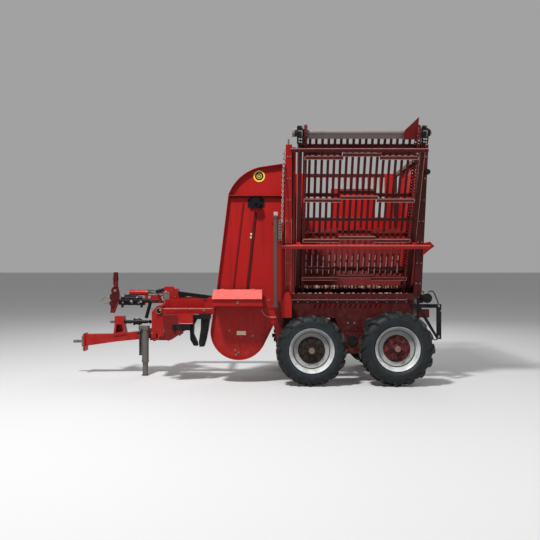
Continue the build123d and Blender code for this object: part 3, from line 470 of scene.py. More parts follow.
class Shop:
    """Collects one mesh for each coat on a body, and makes them into pieces together."""

    def __init__(self, name, body="chassis", ending=""):
        self.name = name
        self.body = body
        self.ending = ending
        self.meshes = {}

    def on(self, coat):
        if coat not in self.meshes:
            self.meshes[coat] = bmesh.new()
        return self.meshes[coat]

    def deliver(self, replaced=None):
        """Makes the pieces; replaced names a coat and the CAD node that its piece stands in for."""
        for coat, bm in self.meshes.items():
            label = f"{self.name}_{coat}{self.ending}"
            piece = finished(label, mesh_of(bm, label), coat, self.body)
            if replaced and replaced[0] == coat:
                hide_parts(replaced[1])


# Geometry Nodes


class Tree:
    """A Geometry Nodes tree with named inputs, which ends in Realize Instances and Set Material."""

    def __init__(self, name, inputs):
        self.group = bpy.data.node_groups.new(name, "GeometryNodeTree")
        face = self.group.interface
        face.new_socket("Geometry", in_out="INPUT", socket_type="NodeSocketGeometry")
        for label, kind in inputs:
            face.new_socket(label, in_out="INPUT", socket_type=f"NodeSocket{kind}")
        face.new_socket("Material", in_out="INPUT", socket_type="NodeSocketMaterial")
        face.new_socket("Geometry", in_out="OUTPUT", socket_type="NodeSocketGeometry")
        self.start = self.group.nodes.new("NodeGroupInput").outputs
        self.end = self.group.nodes.new("NodeGroupOutput").inputs[0]

    def node(self, kind, sockets=(), **settings):
        node = self.group.nodes.new(kind)
        for key, value in settings.items():
            setattr(node, key, value)
        for key, value in dict(sockets).items():
            if isinstance(value, bpy.types.NodeSocket):
                self.group.links.new(value, node.inputs[key])
            else:
                node.inputs[key].default_value = value
        return node

    def close(self, geometry):
        real = self.node("GeometryNodeRealizeInstances", {"Geometry": geometry})
        coat = self.node(
            "GeometryNodeSetMaterial", {"Geometry": real.outputs[0], "Material": self.start["Material"]}
        )
        self.group.links.new(coat.outputs[0], self.end)
        return self.group


TREES = {}


def ring_tree():
    """Repeats a mesh round a line along Y."""
    tree = Tree("Round a wheel", (("Count", "Int"), ("Centre", "Vector"), ("First turn", "Float")))
    places = tree.node("GeometryNodeMeshLine", {"Count": tree.start["Count"], "Offset": (0, 0, 0)})
    index = tree.node("GeometryNodeInputIndex")
    share = tree.node("ShaderNodeMath", {0: index.outputs[0], 1: tree.start["Count"]}, operation="DIVIDE")
    angle = tree.node("ShaderNodeMath", {0: share.outputs[0], 1: math.tau}, operation="MULTIPLY")
    angle = tree.node("ShaderNodeMath", {0: angle.outputs[0], 1: tree.start["First turn"]}, operation="ADD")
    turn = tree.node("ShaderNodeCombineXYZ", {"Y": angle.outputs[0]})
    copies = tree.node(
        "GeometryNodeInstanceOnPoints",
        {"Points": places.outputs[0], "Instance": tree.start["Geometry"], "Rotation": turn.outputs[0]},
    )
    moved = tree.node(
        "GeometryNodeTransform", {"Geometry": copies.outputs[0], "Translation": tree.start["Centre"]}
    )
    return tree.close(moved.outputs[0])


def bolt_tree():
    """A washer and a hexagon head on each point, turned to the point's facing and scaled by its size."""
    tree = Tree("Bolts", (("Head radius", "Float"), ("Head height", "Float")))
    radius, height = tree.start["Head radius"], tree.start["Head height"]
    wide = tree.node("ShaderNodeMath", {0: radius, 1: 1.45}, operation="MULTIPLY")
    thin = tree.node("ShaderNodeMath", {0: height, 1: 0.3}, operation="MULTIPLY")
    washer = tree.node(
        "GeometryNodeMeshCylinder", {"Vertices": 12, "Radius": wide.outputs[0], "Depth": thin.outputs[0]}
    )
    head = tree.node("GeometryNodeMeshCylinder", {"Vertices": 6, "Radius": radius, "Depth": height})
    lift = tree.node("ShaderNodeMath", {0: height, 1: 0.5}, operation="MULTIPLY")
    up = tree.node("ShaderNodeCombineXYZ", {"Z": lift.outputs[0]})
    head = tree.node("GeometryNodeTransform", {"Geometry": head.outputs[0], "Translation": up.outputs[0]})
    both = tree.node("GeometryNodeJoinGeometry")
    for part in (washer, head):
        tree.group.links.new(part.outputs[0], both.inputs[0])
    facing = tree.node("GeometryNodeInputNamedAttribute", {"Name": "facing"}, data_type="FLOAT_VECTOR")
    size = tree.node("GeometryNodeInputNamedAttribute", {"Name": "size"}, data_type="FLOAT")
    turn = tree.node("FunctionNodeAlignRotationToVector", {"Vector": facing.outputs[0]}, axis="Z")
    copies = tree.node(
        "GeometryNodeInstanceOnPoints",
        {
            "Points": tree.start["Geometry"],
            "Instance": both.outputs[0],
            "Rotation": turn.outputs[0],
            "Scale": size.outputs[0],
        },
    )
    return tree.close(copies.outputs[0])


def hose_tree():
    """A round hose along each curve."""
    tree = Tree("Hoses", (("Radius", "Float"),))
    ring = tree.node("GeometryNodeCurvePrimitiveCircle", {"Resolution": 10, "Radius": tree.start["Radius"]})
    tube = tree.node(
        "GeometryNodeCurveToMesh",
        {"Curve": tree.start["Geometry"], "Profile Curve": ring.outputs[0], "Fill Caps": True},
    )
    return tree.close(tube.outputs[0])


def link_tree():
    """Oval links along a curve; with Quarter at 1, every other link is turned a quarter."""
    tree = Tree("Chain links", (("Link length", "Float"), ("Wire radius", "Float"), ("Quarter", "Float")))
    length, wire_r = tree.start["Link length"], tree.start["Wire radius"]
    path = tree.node(
        "GeometryNodeResampleCurve", {"Curve": tree.start["Geometry"], "Length": length}, mode="LENGTH"
    )
    loop_r = tree.node("ShaderNodeMath", {0: length, 1: 0.42}, operation="MULTIPLY")
    loop = tree.node("GeometryNodeCurvePrimitiveCircle", {"Resolution": 12, "Radius": loop_r.outputs[0]})
    oval = tree.node("GeometryNodeTransform", {"Geometry": loop.outputs[0], "Scale": (0.85, 1.6, 1.0)})
    wire = tree.node("GeometryNodeCurvePrimitiveCircle", {"Resolution": 6, "Radius": wire_r})
    link = tree.node("GeometryNodeCurveToMesh", {"Curve": oval.outputs[0], "Profile Curve": wire.outputs[0]})
    tangent = tree.node("GeometryNodeInputTangent")
    along = tree.node("FunctionNodeAlignRotationToVector", {"Vector": tangent.outputs[0]}, axis="Y")
    index = tree.node("GeometryNodeInputIndex")
    odd = tree.node("ShaderNodeMath", {0: index.outputs[0], 1: 2.0}, operation="MODULO")
    turned = tree.node("ShaderNodeMath", {0: odd.outputs[0], 1: math.pi / 2}, operation="MULTIPLY")
    quarter = tree.node(
        "ShaderNodeMath", {0: turned.outputs[0], 1: tree.start["Quarter"]}, operation="MULTIPLY"
    )
    roll = tree.node("ShaderNodeCombineXYZ", {"Y": quarter.outputs[0]})
    turn = tree.node(
        "FunctionNodeRotateRotation",
        {"Rotation": along.outputs[0], "Rotate By": roll.outputs[0]},
        rotation_space="LOCAL",
    )
    copies = tree.node(
        "GeometryNodeInstanceOnPoints",
        {"Points": path.outputs[0], "Instance": link.outputs[0], "Rotation": turn.outputs[0]},
    )
    return tree.close(copies.outputs[0])


def make_trees():
    TREES.update(ring=ring_tree(), bolts=bolt_tree(), hose=hose_tree(), links=link_tree())


def grown(name, source, tree, coat, **values):
    """The plain mesh that a tree makes from a mesh or curve."""
    carrier = bpy.data.objects.new(name, source)
    bpy.context.scene.collection.objects.link(carrier)
    modifier = carrier.modifiers.new("shape", "NODES")
    modifier.node_group = TREES[tree]
    values["Material"] = COATS[coat]
    for item in TREES[tree].interface.items_tree:
        key = item.name.replace(" ", "_")
        if item.in_out == "INPUT" and key in values:
            modifier[item.identifier] = values[key]
    bpy.context.view_layer.update()
    evaluated = carrier.evaluated_get(bpy.context.evaluated_depsgraph_get())
    mesh = bpy.data.meshes.new_from_object(evaluated)
    mesh.name = name
    bpy.data.objects.remove(carrier)
    return mesh


def bolts(name, rows, coat, body="chassis", radius=0.009, height=0.009):
    """Bolts at (point, facing, size) rows."""
    source = bpy.data.meshes.new(name)
    source.from_pydata([tuple(row[0]) for row in rows], [], [])
    source.attributes.new("facing", "FLOAT_VECTOR", "POINT")
    source.attributes.new("size", "FLOAT", "POINT")
    for i, row in enumerate(rows):
        source.attributes["facing"].data[i].vector = row[1]
        source.attributes["size"].data[i].value = row[2]
    mesh = grown(name, source, "bolts", coat, Head_radius=radius, Head_height=height)
    finished(name, mesh, coat, body)


def path_curve(name, paths, smooth=True):
    """A curve with one spline through or near each list of points."""
    curve = bpy.data.curves.new(name, "CURVE")
    curve.dimensions = "3D"
    curve.resolution_u = 6
    for points in paths:
        spline = curve.splines.new("NURBS" if smooth else "POLY")
        spline.points.add(len(points) - 1)
        for point, place in zip(spline.points, points):
            point.co = (*place, 1)
        if smooth:
            spline.order_u = 3
            spline.use_endpoint_u = True
    return curve


def hoses(name, paths, radius, coat):
    """Hoses on the chassis, along paths of points."""
    mesh = grown(name, path_curve(name, paths), "hose", coat, Radius=radius)
    for polygon in mesh.polygons:
        polygon.use_smooth = True
    finished(name, mesh, coat, "chassis")


def ferrules(bm, paths, radius):
    """Crimped metal ends on hoses."""
    for path in paths:
        for end, after in ((path[0], path[1]), (path[-1], path[-2])):
            direction = (after - end).normalized()
            add_rod(bm, end - direction * 0.006, end + direction * 0.030, radius * 1.5, segments=12)


# What a user would change


class HarvesterColours(bpy.types.PropertyGroup):
    red: FloatVectorProperty(
        name="Red",
        description="Enamel of the main pieces",
        subtype="COLOR",
        default=(0.285, 0.0050, 0.0048),
    )
    # Painted shade: darker than the red
    maroon: FloatVectorProperty(
        name="Red darkened for painted shade",
        description="Elevator, rear frame, rails and side plates",
        subtype="COLOR",
        default=(0.048, 0.0025, 0.003),
    )
    faded_red: FloatVectorProperty(
        name="Faded red",
        description="Where sun has bleached the red",
        subtype="COLOR",
        default=(0.34, 0.035, 0.03),
    )
    lid_red: FloatVectorProperty(
        name="Lid red",
        description="Bleached toolbox lid",
        subtype="COLOR",
        default=(0.46, 0.030, 0.026),
    )
    # Dirt and painted shade: darker than the red
    shaded_red: FloatVectorProperty(
        name="Dirty and shaded red",
        description="Enamel of the hood, cross members and lever",
        subtype="COLOR",
        default=(0.12, 0.004, 0.005),
    )
    # Rust darkened for painted shade
    brown: FloatVectorProperty(
        name="Rusted rails darkened for painted shade",
        description="Worn flights and chains",
        subtype="COLOR",
        default=(0.085, 0.010, 0.009),
    )
    black: FloatVectorProperty(
        name="Black",
        description="Motors, brackets and shares",
        subtype="COLOR",
        default=(0.006, 0.006, 0.008),
    )
    grey: FloatVectorProperty(
        name="Grey",
        description="Jack and rear post",
        subtype="COLOR",
        default=(0.085, 0.082, 0.080),
    )


class HarvesterWheels(bpy.types.PropertyGroup):
    lug_count: IntProperty(name="Lugs", description="Lugs in each of a tyre's two rows", default=16, min=8)
    lug_thickness: FloatProperty(
        name="Lug thickness", description="Across one lug", default=0.038, unit="LENGTH"
    )
    bolt_count: IntProperty(name="Wheel bolts", description="Bolts round each hub", default=8, min=4)
    bolt_circle: FloatProperty(
        name="Bolt circle", description="Radius of the bolt circle", default=0.158, unit="LENGTH"
    )


class Harvester(bpy.types.PropertyGroup):
    colours: PointerProperty(type=HarvesterColours)
    wheels: PointerProperty(type=HarvesterWheels)


# Operators


class HARVESTER_OT_finishes(bpy.types.Operator):
    """Makes the materials and gives them to the CAD nodes"""

    bl_idname = "harvester.finishes"
    bl_label = "Finishes"

    def execute(self, context):
        make_coats(context.scene.harvester.colours)
        make_trees()
        for coat, names in NODE_COATS.items():
            for name in names.split():
                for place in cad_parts[name].material_slots:
                    place.material = COATS[coat]
        for name, *_rest in WHEELS:
            end = name.split("_")[0]
            for node in ("tyre", "rim"):
                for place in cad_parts[f"{node}_{name}"].material_slots:
                    place.material = COATS[f"{node}_{end}"]
        return {"FINISHED"}


def tyre_carcass(bm, centre, carcass_r, width):
    """A tyre's rounded casing, turned about its axle."""
    half = width / 2
    profile = (
        # offset along the axle, radius
        (-RIM_HALF_WIDTH + 0.012, RIM_SEAT_R),
        (-RIM_HALF_WIDTH + 0.006, RIM_FLANGE_R - 0.004),
        (-RIM_HALF_WIDTH - 0.001, RIM_FLANGE_R + 0.006),
        (-half + 0.006, RIM_FLANGE_R + 0.030),
        (-half, RIM_FLANGE_R + 0.062),
        (-half + 0.002, carcass_r - 0.075),
        (-half + 0.012, carcass_r - 0.045),
        (-half + 0.032, carcass_r - 0.018),
        (-half + 0.060, carcass_r - 0.004),
        (-half * 0.3, carcass_r + 0.002),
    )
    add_turned(bm, centre, [*profile, *((-y, r) for y, r in reversed(profile))], 96)


LUG_SLANT = math.radians(38)


def lug_mesh(name, side, row, outer_r, carcass_r, width, thickness):
    """One tread lug with its foot on the casing and its shoulder drawn down the sidewall."""
    bm = bmesh.new()
    length = 0.60 * width
    top = outer_r - 0.001
    slant = math.tan(LUG_SLANT) * row * side
    stations = (
        # share of the lug's length, top radius, thickness factor
        (0.0, top, 0.80),
        (0.35, top, 0.95),
        (0.75, top - 0.004, 1.05),
        (0.93, top - 0.022, 1.10),
        (1.0, carcass_r - 0.040, 1.05),
    )
    rings = []
    for share, r, wide in stations:
        y = row * (width * 0.235 - length * 0.36 + share * length * 0.80)
        drift = (share - 0.5) * length * math.cos(LUG_SLANT) * slant * row
        half = thickness * wide / 2
        low = min(carcass_r - 0.02, r - 0.012)
        ring = []
        for across, radius in ((-half - 0.006, low), (-half, r), (half, r), (half + 0.006, low)):
            angle = (across + drift) / outer_r
            ring.append(bm.verts.new((radius * math.cos(angle), y, radius * math.sin(angle))))
        rings.append(ring)
    for here, there in zip(rings, rings[1:]):
        for j in range(4):
            k = (j + 1) % 4
            bm.faces.new((here[j], here[k], there[k], there[j]))
    bm.faces.new(rings[0])
    bm.faces.new(reversed(rings[-1]))
    return mesh_of(bm, name)


class HARVESTER_OT_tyres(bpy.types.Operator):
    """Makes the four tyres: rounded casings with two rows of slanted lugs"""

    bl_idname = "harvester.tyres"
    bl_label = "Tyres"

    def execute(self, context):
        wheels = context.scene.harvester.wheels
        for name, body, x, side, outer_r, carcass_r, width in WHEELS:
            centre = Vector((x, MID + side * WHEEL_Y, outer_r))
            coat = f"tyre_{name.split('_')[0]}"
            bm = bmesh.new()
            tyre_carcass(bm, centre, carcass_r, width)
            for row in (-1, 1):
                source = lug_mesh(f"lug_{name}", side, row, outer_r, carcass_r, width, wheels.lug_thickness)
                count = wheels.lug_count
                first = 0.0 if row < 0 else math.pi / count
                ring = grown(
                    f"lugs_{name}", source, "ring", coat, Count=count, Centre=centre, First_turn=first
                )
                bm.from_mesh(ring)
            mesh = mesh_of(bm, f"tyre_{name}", 0.7)
            piece = finished(f"dressed_tyre_{name}", mesh, coat, body)
            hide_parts(f"tyre_{name}")
        return {"FINISHED"}


RIM_PROFILE = (
    # offset outward along the axle, radius
    (0.1120, 0.0),
    (0.1120, 0.040),
    (0.1050, 0.050),
    (0.0500, 0.054),
    (0.0420, 0.062),
    (0.0400, 0.172),
    (0.0340, 0.184),
    (0.0180, 0.188),
    (0.0145, 0.200),
    (0.0200, 0.252),
    (0.0240, 0.262),
    (0.0260, 0.270),
    (0.0500, 0.279),
    (0.0860, 0.291),
    (0.0985, 0.298),
    (0.1090, 0.308),
    (0.1180, 0.319),
    (0.1215, 0.324),
    (0.1205, 0.3285),
    (0.1150, 0.3297),
    (0.1095, 0.3285),
    (0.0990, 0.3160),
    (0.0965, 0.2995),
    (-0.0965, 0.2995),
    (-0.0990, 0.3160),
    (-0.1160, 0.3290),
    (-0.1195, 0.3240),
    (-0.1060, 0.3020),
    (-0.0900, 0.2880),
    (0.0000, 0.2860),
    (-0.0080, 0.2700),
    (-0.0080, 0.1120),
    (-0.0700, 0.1100),
    (-0.0720, 0.0370),
    (0.0590, 0.0368),
    (0.0600, 0.0),
)


class HARVESTER_OT_rims(bpy.types.Operator):
    """Makes the four dished rims with their rolled flanges and hubs"""

    bl_idname = "harvester.rims"
    bl_label = "Rims"

    def execute(self, context):
        for name, body, x, side, outer_r, _carcass_r, _width in WHEELS:
            bm = bmesh.new()
            profile = [(side * y, r) for y, r in RIM_PROFILE]
            add_turned(bm, Vector((x, MID + side * WHEEL_Y, outer_r)), profile, 96)
            coat = f"rim_{name.split('_')[0]}"
            piece = finished(f"dressed_rim_{name}", mesh_of(bm, f"rim_{name}", 0.5), coat, body)
            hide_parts(f"rim_{name}")
        return {"FINISHED"}


TO_NEAR = (0, -1, 0)
NEAR_PLATE_Y = -790
UPPER_SHAFT_X, UPPER_SHAFT_Z = 102, 2708
HOUSING_RIBS = (
    # coat, top and foot as seen in the frame, half width in pixels
    ("maroon", (255.6, 213), (247.6, 288), 1.4),
    ("shaded_red", (243.4, 203), (233.6, 288), 0.8),
)
RIB_INWARD = (0.006, -0.006, -0.006, 0.006)
BADGE_CENTRE = (259.2, 176.3)
BADGE_RINGS = (
    # coat, section as offset along Y and radius
    ("black", ((-0.004, 0.0), (-0.004, 0.078), (0.001, 0.078), (0.001, 0.0))),
    ("yellow", ((-0.007, 0.064), (-0.008, 0.070), (-0.007, 0.087), (0.001, 0.088), (0.001, 0.064))),
    ("yellow", ((-0.006, 0.030), (-0.007, 0.034), (-0.006, 0.039), (0.001, 0.039), (0.001, 0.030))),
    ("yellow", ((-0.008, 0.0), (-0.007, 0.014), (0.001, 0.015), (0.001, 0.0))),
)
HOUSING_PLATES = (
    # coat, (left, right, top, bottom) as seen, thickness
    ("cream", (236.7, 246.0, 331.0, 335.0), 0.004),
    ("cream", (250.3, 252.6, 233.2, 235.2), 0.003),
    ("cream", (250.0, 251.8, 236.4, 238.4), 0.003),
    ("red", (263.0, 291.0, 306.9, 308.4), 0.012),
)
LIP_LOW, LIP_HIGH = (230, 197.7), (284, 196.5)
HOUSING_BOLTS = (
    # X and Y as seen
    (235.0, 350.4),
    (238.4, 352.6),
    (236.0, 354.6),
    (229.4, 330.4),
    (252.6, 335.8),
    (268.6, 300.2),
)
PLATE_SCREWS = ((237.3, 332.9), (245.4, 332.9))
HOUSING_PIPE = (
    # X and Y as seen, Y on the machine
    (262.0, 309.5, -800),
    (262.4, 312.2, -806),
    (266.0, 316.4, -812),
    (270.0, 317.2, -812),
    (278.0, 317.2, -810),
    (285.0, 317.2, -806),
    (287.0, 316.0, -806),
)


class HARVESTER_OT_housing_trim(bpy.types.Operator):
    """Makes the beet elevator housing's ribs, ring badge, blank plates, lip, motor cap and pipe"""

    bl_idname = "harvester.housing_trim"
    bl_label = "Housing trim"

    def execute(self, context):
        shop = Shop("housing_trim")
        # Pressed ribs on the near plate, coloured dark to paint the shade along them
        for coat, top, foot, half in HOUSING_RIBS:
            corners = []
            for (px, py), signs in ((top, (-1, 1)), (foot, (1, -1))):
                corners += [seen(px + sign * half, py, NEAR_PLATE_Y) for sign in signs]
            raised = [corner + Vector((inward, -0.016, 0)) for corner, inward in zip(corners, RIB_INWARD)]
            add_hull(shop.on(coat), corners + raised)
        for coat, ring in BADGE_RINGS:
            add_turned(shop.on(coat), seen(*BADGE_CENTRE, NEAR_PLATE_Y), ring, 48)
        for coat, corners, thickness in HOUSING_PLATES:
            add_sheet(shop.on(coat), NEAR_PLATE_Y, corners, thickness, 0.002, 0.001)
        # Stepped cap of the upper shaft's motor, and its four arms
        black = shop.on("black")
        cap = at(UPPER_SHAFT_X, -850, UPPER_SHAFT_Z)
        for offset, r, sides in ((-0.062, 0.052, 6), (-0.078, 0.030, 6), (-0.092, 0.016, 20)):
            add_rod(black, cap, cap + Vector((0, offset, 0)), r, segments=sides)
        flange = at(UPPER_SHAFT_X, -800, UPPER_SHAFT_Z)
        for turn in range(4):
            angle = math.radians(45 + 90 * turn)
            arm = Vector((math.cos(angle), 0, math.sin(angle)))
            add_rod(black, flange + arm * 0.05, flange + arm * 0.115, 0.022, 0.016, 10)
        # Folded lip behind the housing's rim
        low, high = seen(*LIP_LOW, NEAR_PLATE_Y), seen(*LIP_HIGH, NEAR_PLATE_Y)
        add_box(shop.on("maroon"), low + Vector((0, -0.035, 0)), high + Vector((0, 0.001, 0)))
        shop.deliver()
        rows = [(seen(*place, NEAR_PLATE_Y), TO_NEAR, 1.3) for place in HOUSING_BOLTS]
        screws = [seen(*place, NEAR_PLATE_Y) + Vector((0, -0.004, 0)) for place in PLATE_SCREWS]
        rows += [(screw, TO_NEAR, 0.5) for screw in screws]
        bolts("housing_bolts", rows, "steel")
        rows = []
        for i in range(8):
            angle = math.tau * (i + 0.5) / 8
            place = at(UPPER_SHAFT_X + 62 * math.cos(angle), -910, UPPER_SHAFT_Z + 62 * math.sin(angle))
            rows.append((place, TO_NEAR, 0.9))
        bolts("motor_bolts", rows, "black")
        hoses("housing_pipe", [[seen(*place) for place in HOUSING_PIPE]], 0.006, "edge")
        return {"FINISHED"}


class HARVESTER_OT_toolbox_trim(bpy.types.Operator):
    """Makes the toolbox's latch"""

    bl_idname = "harvester.toolbox_trim"
    bl_label = "Toolbox trim"

    def execute(self, context):
        shop = Shop("toolbox_trim")
        steel = shop.on("steel")
        latch = at(-155, -1119, 1240)
        add_box(steel, latch + Vector((-0.016, -0.006, -0.03)), latch + Vector((0.016, 0, 0.012)), 0.002)
        add_rod(steel, latch + Vector((0, -0.006, -0.012)), latch + Vector((0, -0.02, -0.012)), 0.007)
        shop.deliver()
        return {"FINISHED"}


CYLINDER_X, CYLINDER_Y = 400, -1000
CYLINDER_COLLARS = (
    # Z, radius, depth
    (1160, 0.046, 0.03),
    (2470, 0.044, 0.035),
    (2120, 0.040, 0.02),
)
STRIP_Y = -1032


class HARVESTER_OT_lifting_chain(bpy.types.Operator):
    """Makes the lifting chain's links, its lug and hook, and the lift cylinder's fittings"""

    bl_idname = "harvester.lifting_chain"
    bl_label = "Lifting chain"

    def execute(self, context):
        path = path_curve("lifting chain", [[at(519, -1108, 3462), at(491, -1062, 2430)]], False)
        mesh = grown(
            "lifting_chain", path, "links", "steel", Link_length=0.036, Wire_radius=0.0055, Quarter=1.0
        )
        bm = bmesh.new()
        bm.from_mesh(mesh)
        add_box(bm, at(508, -1117, 3440), at(545, -1095, 3490), 0.004)
        add_box(bm, at(481, -1072, 2398), at(501, -1050, 2440), 0.004)
        piece = finished("lifting_chain", mesh_of(bm, "lifting_chain"), "zinc", "chassis")
        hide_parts("lift_chain")
        shop = Shop("lift_fittings")
        for z, r, depth in CYLINDER_COLLARS:
            add_collar(shop.on("barrel"), at(CYLINDER_X, CYLINDER_Y, z), 0.036, r, depth, "Z", 32)
        add_box(shop.on("red"), at(432, -1022, 2520), at(470, -985, 2590), 0.006)
        add_rod(shop.on("red"), at(430, CYLINDER_Y, 2540), at(502, CYLINDER_Y, 2556), 0.010)
        # Strip beside the cylinder; dark discs stand for its round holes
        corners = [at(x, STRIP_Y, z) for x, z in ((440, 2140), (486, 2140), (486, 2440), (440, 2440))]
        add_plate(shop.on("steel"), corners, (0, 0.006, 0))
        add_box(shop.on("steel"), at(440, STRIP_Y, 2150), at(486, -850, 2156))
        for i in range(7):
            z = 2165 + 42 * i
            add_rod(shop.on("black"), at(463, STRIP_Y - 2, z), at(463, STRIP_Y + 7, z), 0.012, segments=14)
        shop.deliver()
        return {"FINISHED"}


FLIGHT_COUNT, FLIGHT_FIRST, FLIGHT_PITCH = 4, 183, 629
BAR_COUNT, BAR_FIRST_X, BAR_PITCH = 17, 862, 88
HEAD_ALONG = 2424
CHAIN_TURN_R = 96
CHAIN_PLACES_X = (815.5, 2394.5)
BEARING_CAPS = (
    # along the bed, out from it, radius, height
    (2424, 78, 0.052, 34),
    (2505, 60, 0.030, 28),
    (2300, 104, 0.022, 30),
)


class HARVESTER_OT_elevator_trim(bpy.types.Operator):
    """Makes the elevator's edge strips of painted highlight, guard rail, board, pointed plate, bearings,
    chains and bolts
    """

    bl_idname = "harvester.elevator_trim"
    bl_label = "Elevator trim"

    def execute(self, context):
        shop = Shop("elevator_trim", "elevator")
        edge, bar_red = shop.on("edge"), shop.on("red")
        # Strips of painted highlight along the flights' edges, each in three stepped lengths
        for i in range(FLIGHT_COUNT):
            along = FLIGHT_FIRST + FLIGHT_PITCH * i
            for x, shift in (((803, 1345), 0), ((1338, 1872), 44), ((1865, 2407), 0)):
                for low in (0, 46):
                    start = along + shift + low
                    add_bed_box(edge, x, (start, start + 4.5), (144, 146.5))
            for x in (803, 2400):
                add_bed_box(edge, (x, x + 7), (along, along + 50), (144, 146.5))
        # Strips of painted highlight along the lifting beam, the guard rail and the side frames
        for x, along, out in (
            ((480, 2690), (786, 793), (219, 221)),
            ((600, 2530), (2226, 2233), (154, 156)),
            ((706, 711), (40, 2400), (74, 76)),
            ((2499, 2504), (40, 2400), (74, 76)),
        ):
            add_bed_box(edge, x, along, out)
        # Bars of the bed, with light strips of painted highlight and wear low down and red strips above
        wear = random.Random(5)
        for i in range(BAR_COUNT):
            x = BAR_FIRST_X + BAR_PITCH * i
            for start in (215, 330, 445):
                low = start + wear.uniform(0, 30)
                add_bed_box(
                    edge, (x - 0.5, x + wear.uniform(9, 16)), (low, low + wear.uniform(60, 100)), (3, 7)
                )
                low = start + 330 + wear.uniform(0, 60)
                add_bed_box(bar_red, (x + 2, x + 34), (low, low + wear.uniform(120, 200)), (3, 7.5))
        # Long guard rail, weathered board and pointed plate at the head
        rail = shop.on("maroon")
        add_bed_box(rail, (600, 2531), (2180, 2232), (125, 155))
        for x in ((706, 768), (2442, 2504)):
            add_bed_box(rail, x, (2180, 2232), (75, 125))
        board = shop.on("board")
        add_bed_box(board, (835, 2375), (2336, 2400), (6, 14))
        points = [bed(x, along, 40) for x, along in ((2190, 2334), (2376, 2334), (2376, 2649), (2190, 2458))]
        add_plate(shop.on("shaded_red"), points, bed(0, 0, 8) - bed(0, 0, 0))
        add_bed_box(board, (2190, 2376), (2334, 2364), (6, 42))
        # Bearings at both ends of the head shaft
        black = shop.on("black")
        for x0, x1 in ((690, 784), (2426, 2520)):
            add_bed_box(black, (x0, x1), (2290, 2390), (70, 118))
            add_bed_box(black, (x0 + 8, x1 - 8), (2384, 2500), (40, 92))
            middle = (x0 + x1) / 2 - 20
            for along, out, r, height in BEARING_CAPS:
                add_rod(black, bed(middle, along, out), bed(middle, along, out + height), r, r * 0.7, 16)
            for past, r, sides in ((30, 0.050, 20), (50, 0.026, 16)):
                start, end = bed(x0 - past, HEAD_ALONG, 20), bed(x1 + past, HEAD_ALONG, 20)
                add_rod(black, start, end, r, segments=sides)
        zinc = shop.on("zinc")
        for x in (722, 752, 2458, 2488):
            for along in (2318, 2360):
                add_rod(zinc, bed(x, along, 118), bed(x, along, 130), 0.013, segments=6)
            add_rod(zinc, bed(x, 2300, 76), bed(x, 2384, 92), 0.006, segments=8)
        shop.deliver(("board", "head_guard"))
        paths = []
        for x in CHAIN_PLACES_X:
            loop = []
            for along, first in ((HEAD_ALONG, 0), (0, 180)):
                for i in range(13):
                    angle = math.radians(90 - 180 * i / 12 + first)
                    across, out = CHAIN_TURN_R * math.cos(angle), CHAIN_TURN_R * math.sin(angle)
                    loop.append(bed(x, along + across, out))
            loop.append(loop[0])
            paths.append(loop)
        path = path_curve("drag chains", paths, False)
        mesh = grown(
            "drag_chains", path, "links", "brown", Link_length=0.046, Wire_radius=0.0075, Quarter=0.0
        )
        piece = finished("drag_chains", mesh, "brown", "elevator")
        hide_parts("elevator_chains")
        outward = bed(0, 0, 1) - bed(0, 0, 0)
        rows = []
        for i in range(BAR_COUNT):
            x = BAR_FIRST_X + BAR_PITCH * i + 19
            for along in (320, 1120, 2226):
                rows.append((bed(x, along, 6), outward, 0.7))
        bolts("elevator_bolts", rows, "brown", "elevator", 0.008, 0.007)
        return {"FINISHED"}


TANK_BASE_Y, TANK_BASE_Z = -690, 1290
TANK_SLOPE = (1125 - 690) / (3530 - 1290)
KNOB_SEEN = (427.4, 172.0)
FRONT_WALL_RIBS = (
    # middle Y, lower end Z
    (150, 1400),
    (480, 1560),
    (810, 2080),
)


def near_side_y(z):
    """Y of the tank's leaning near side at a height."""
    return TANK_BASE_Y - TANK_SLOPE * (z - TANK_BASE_Z)


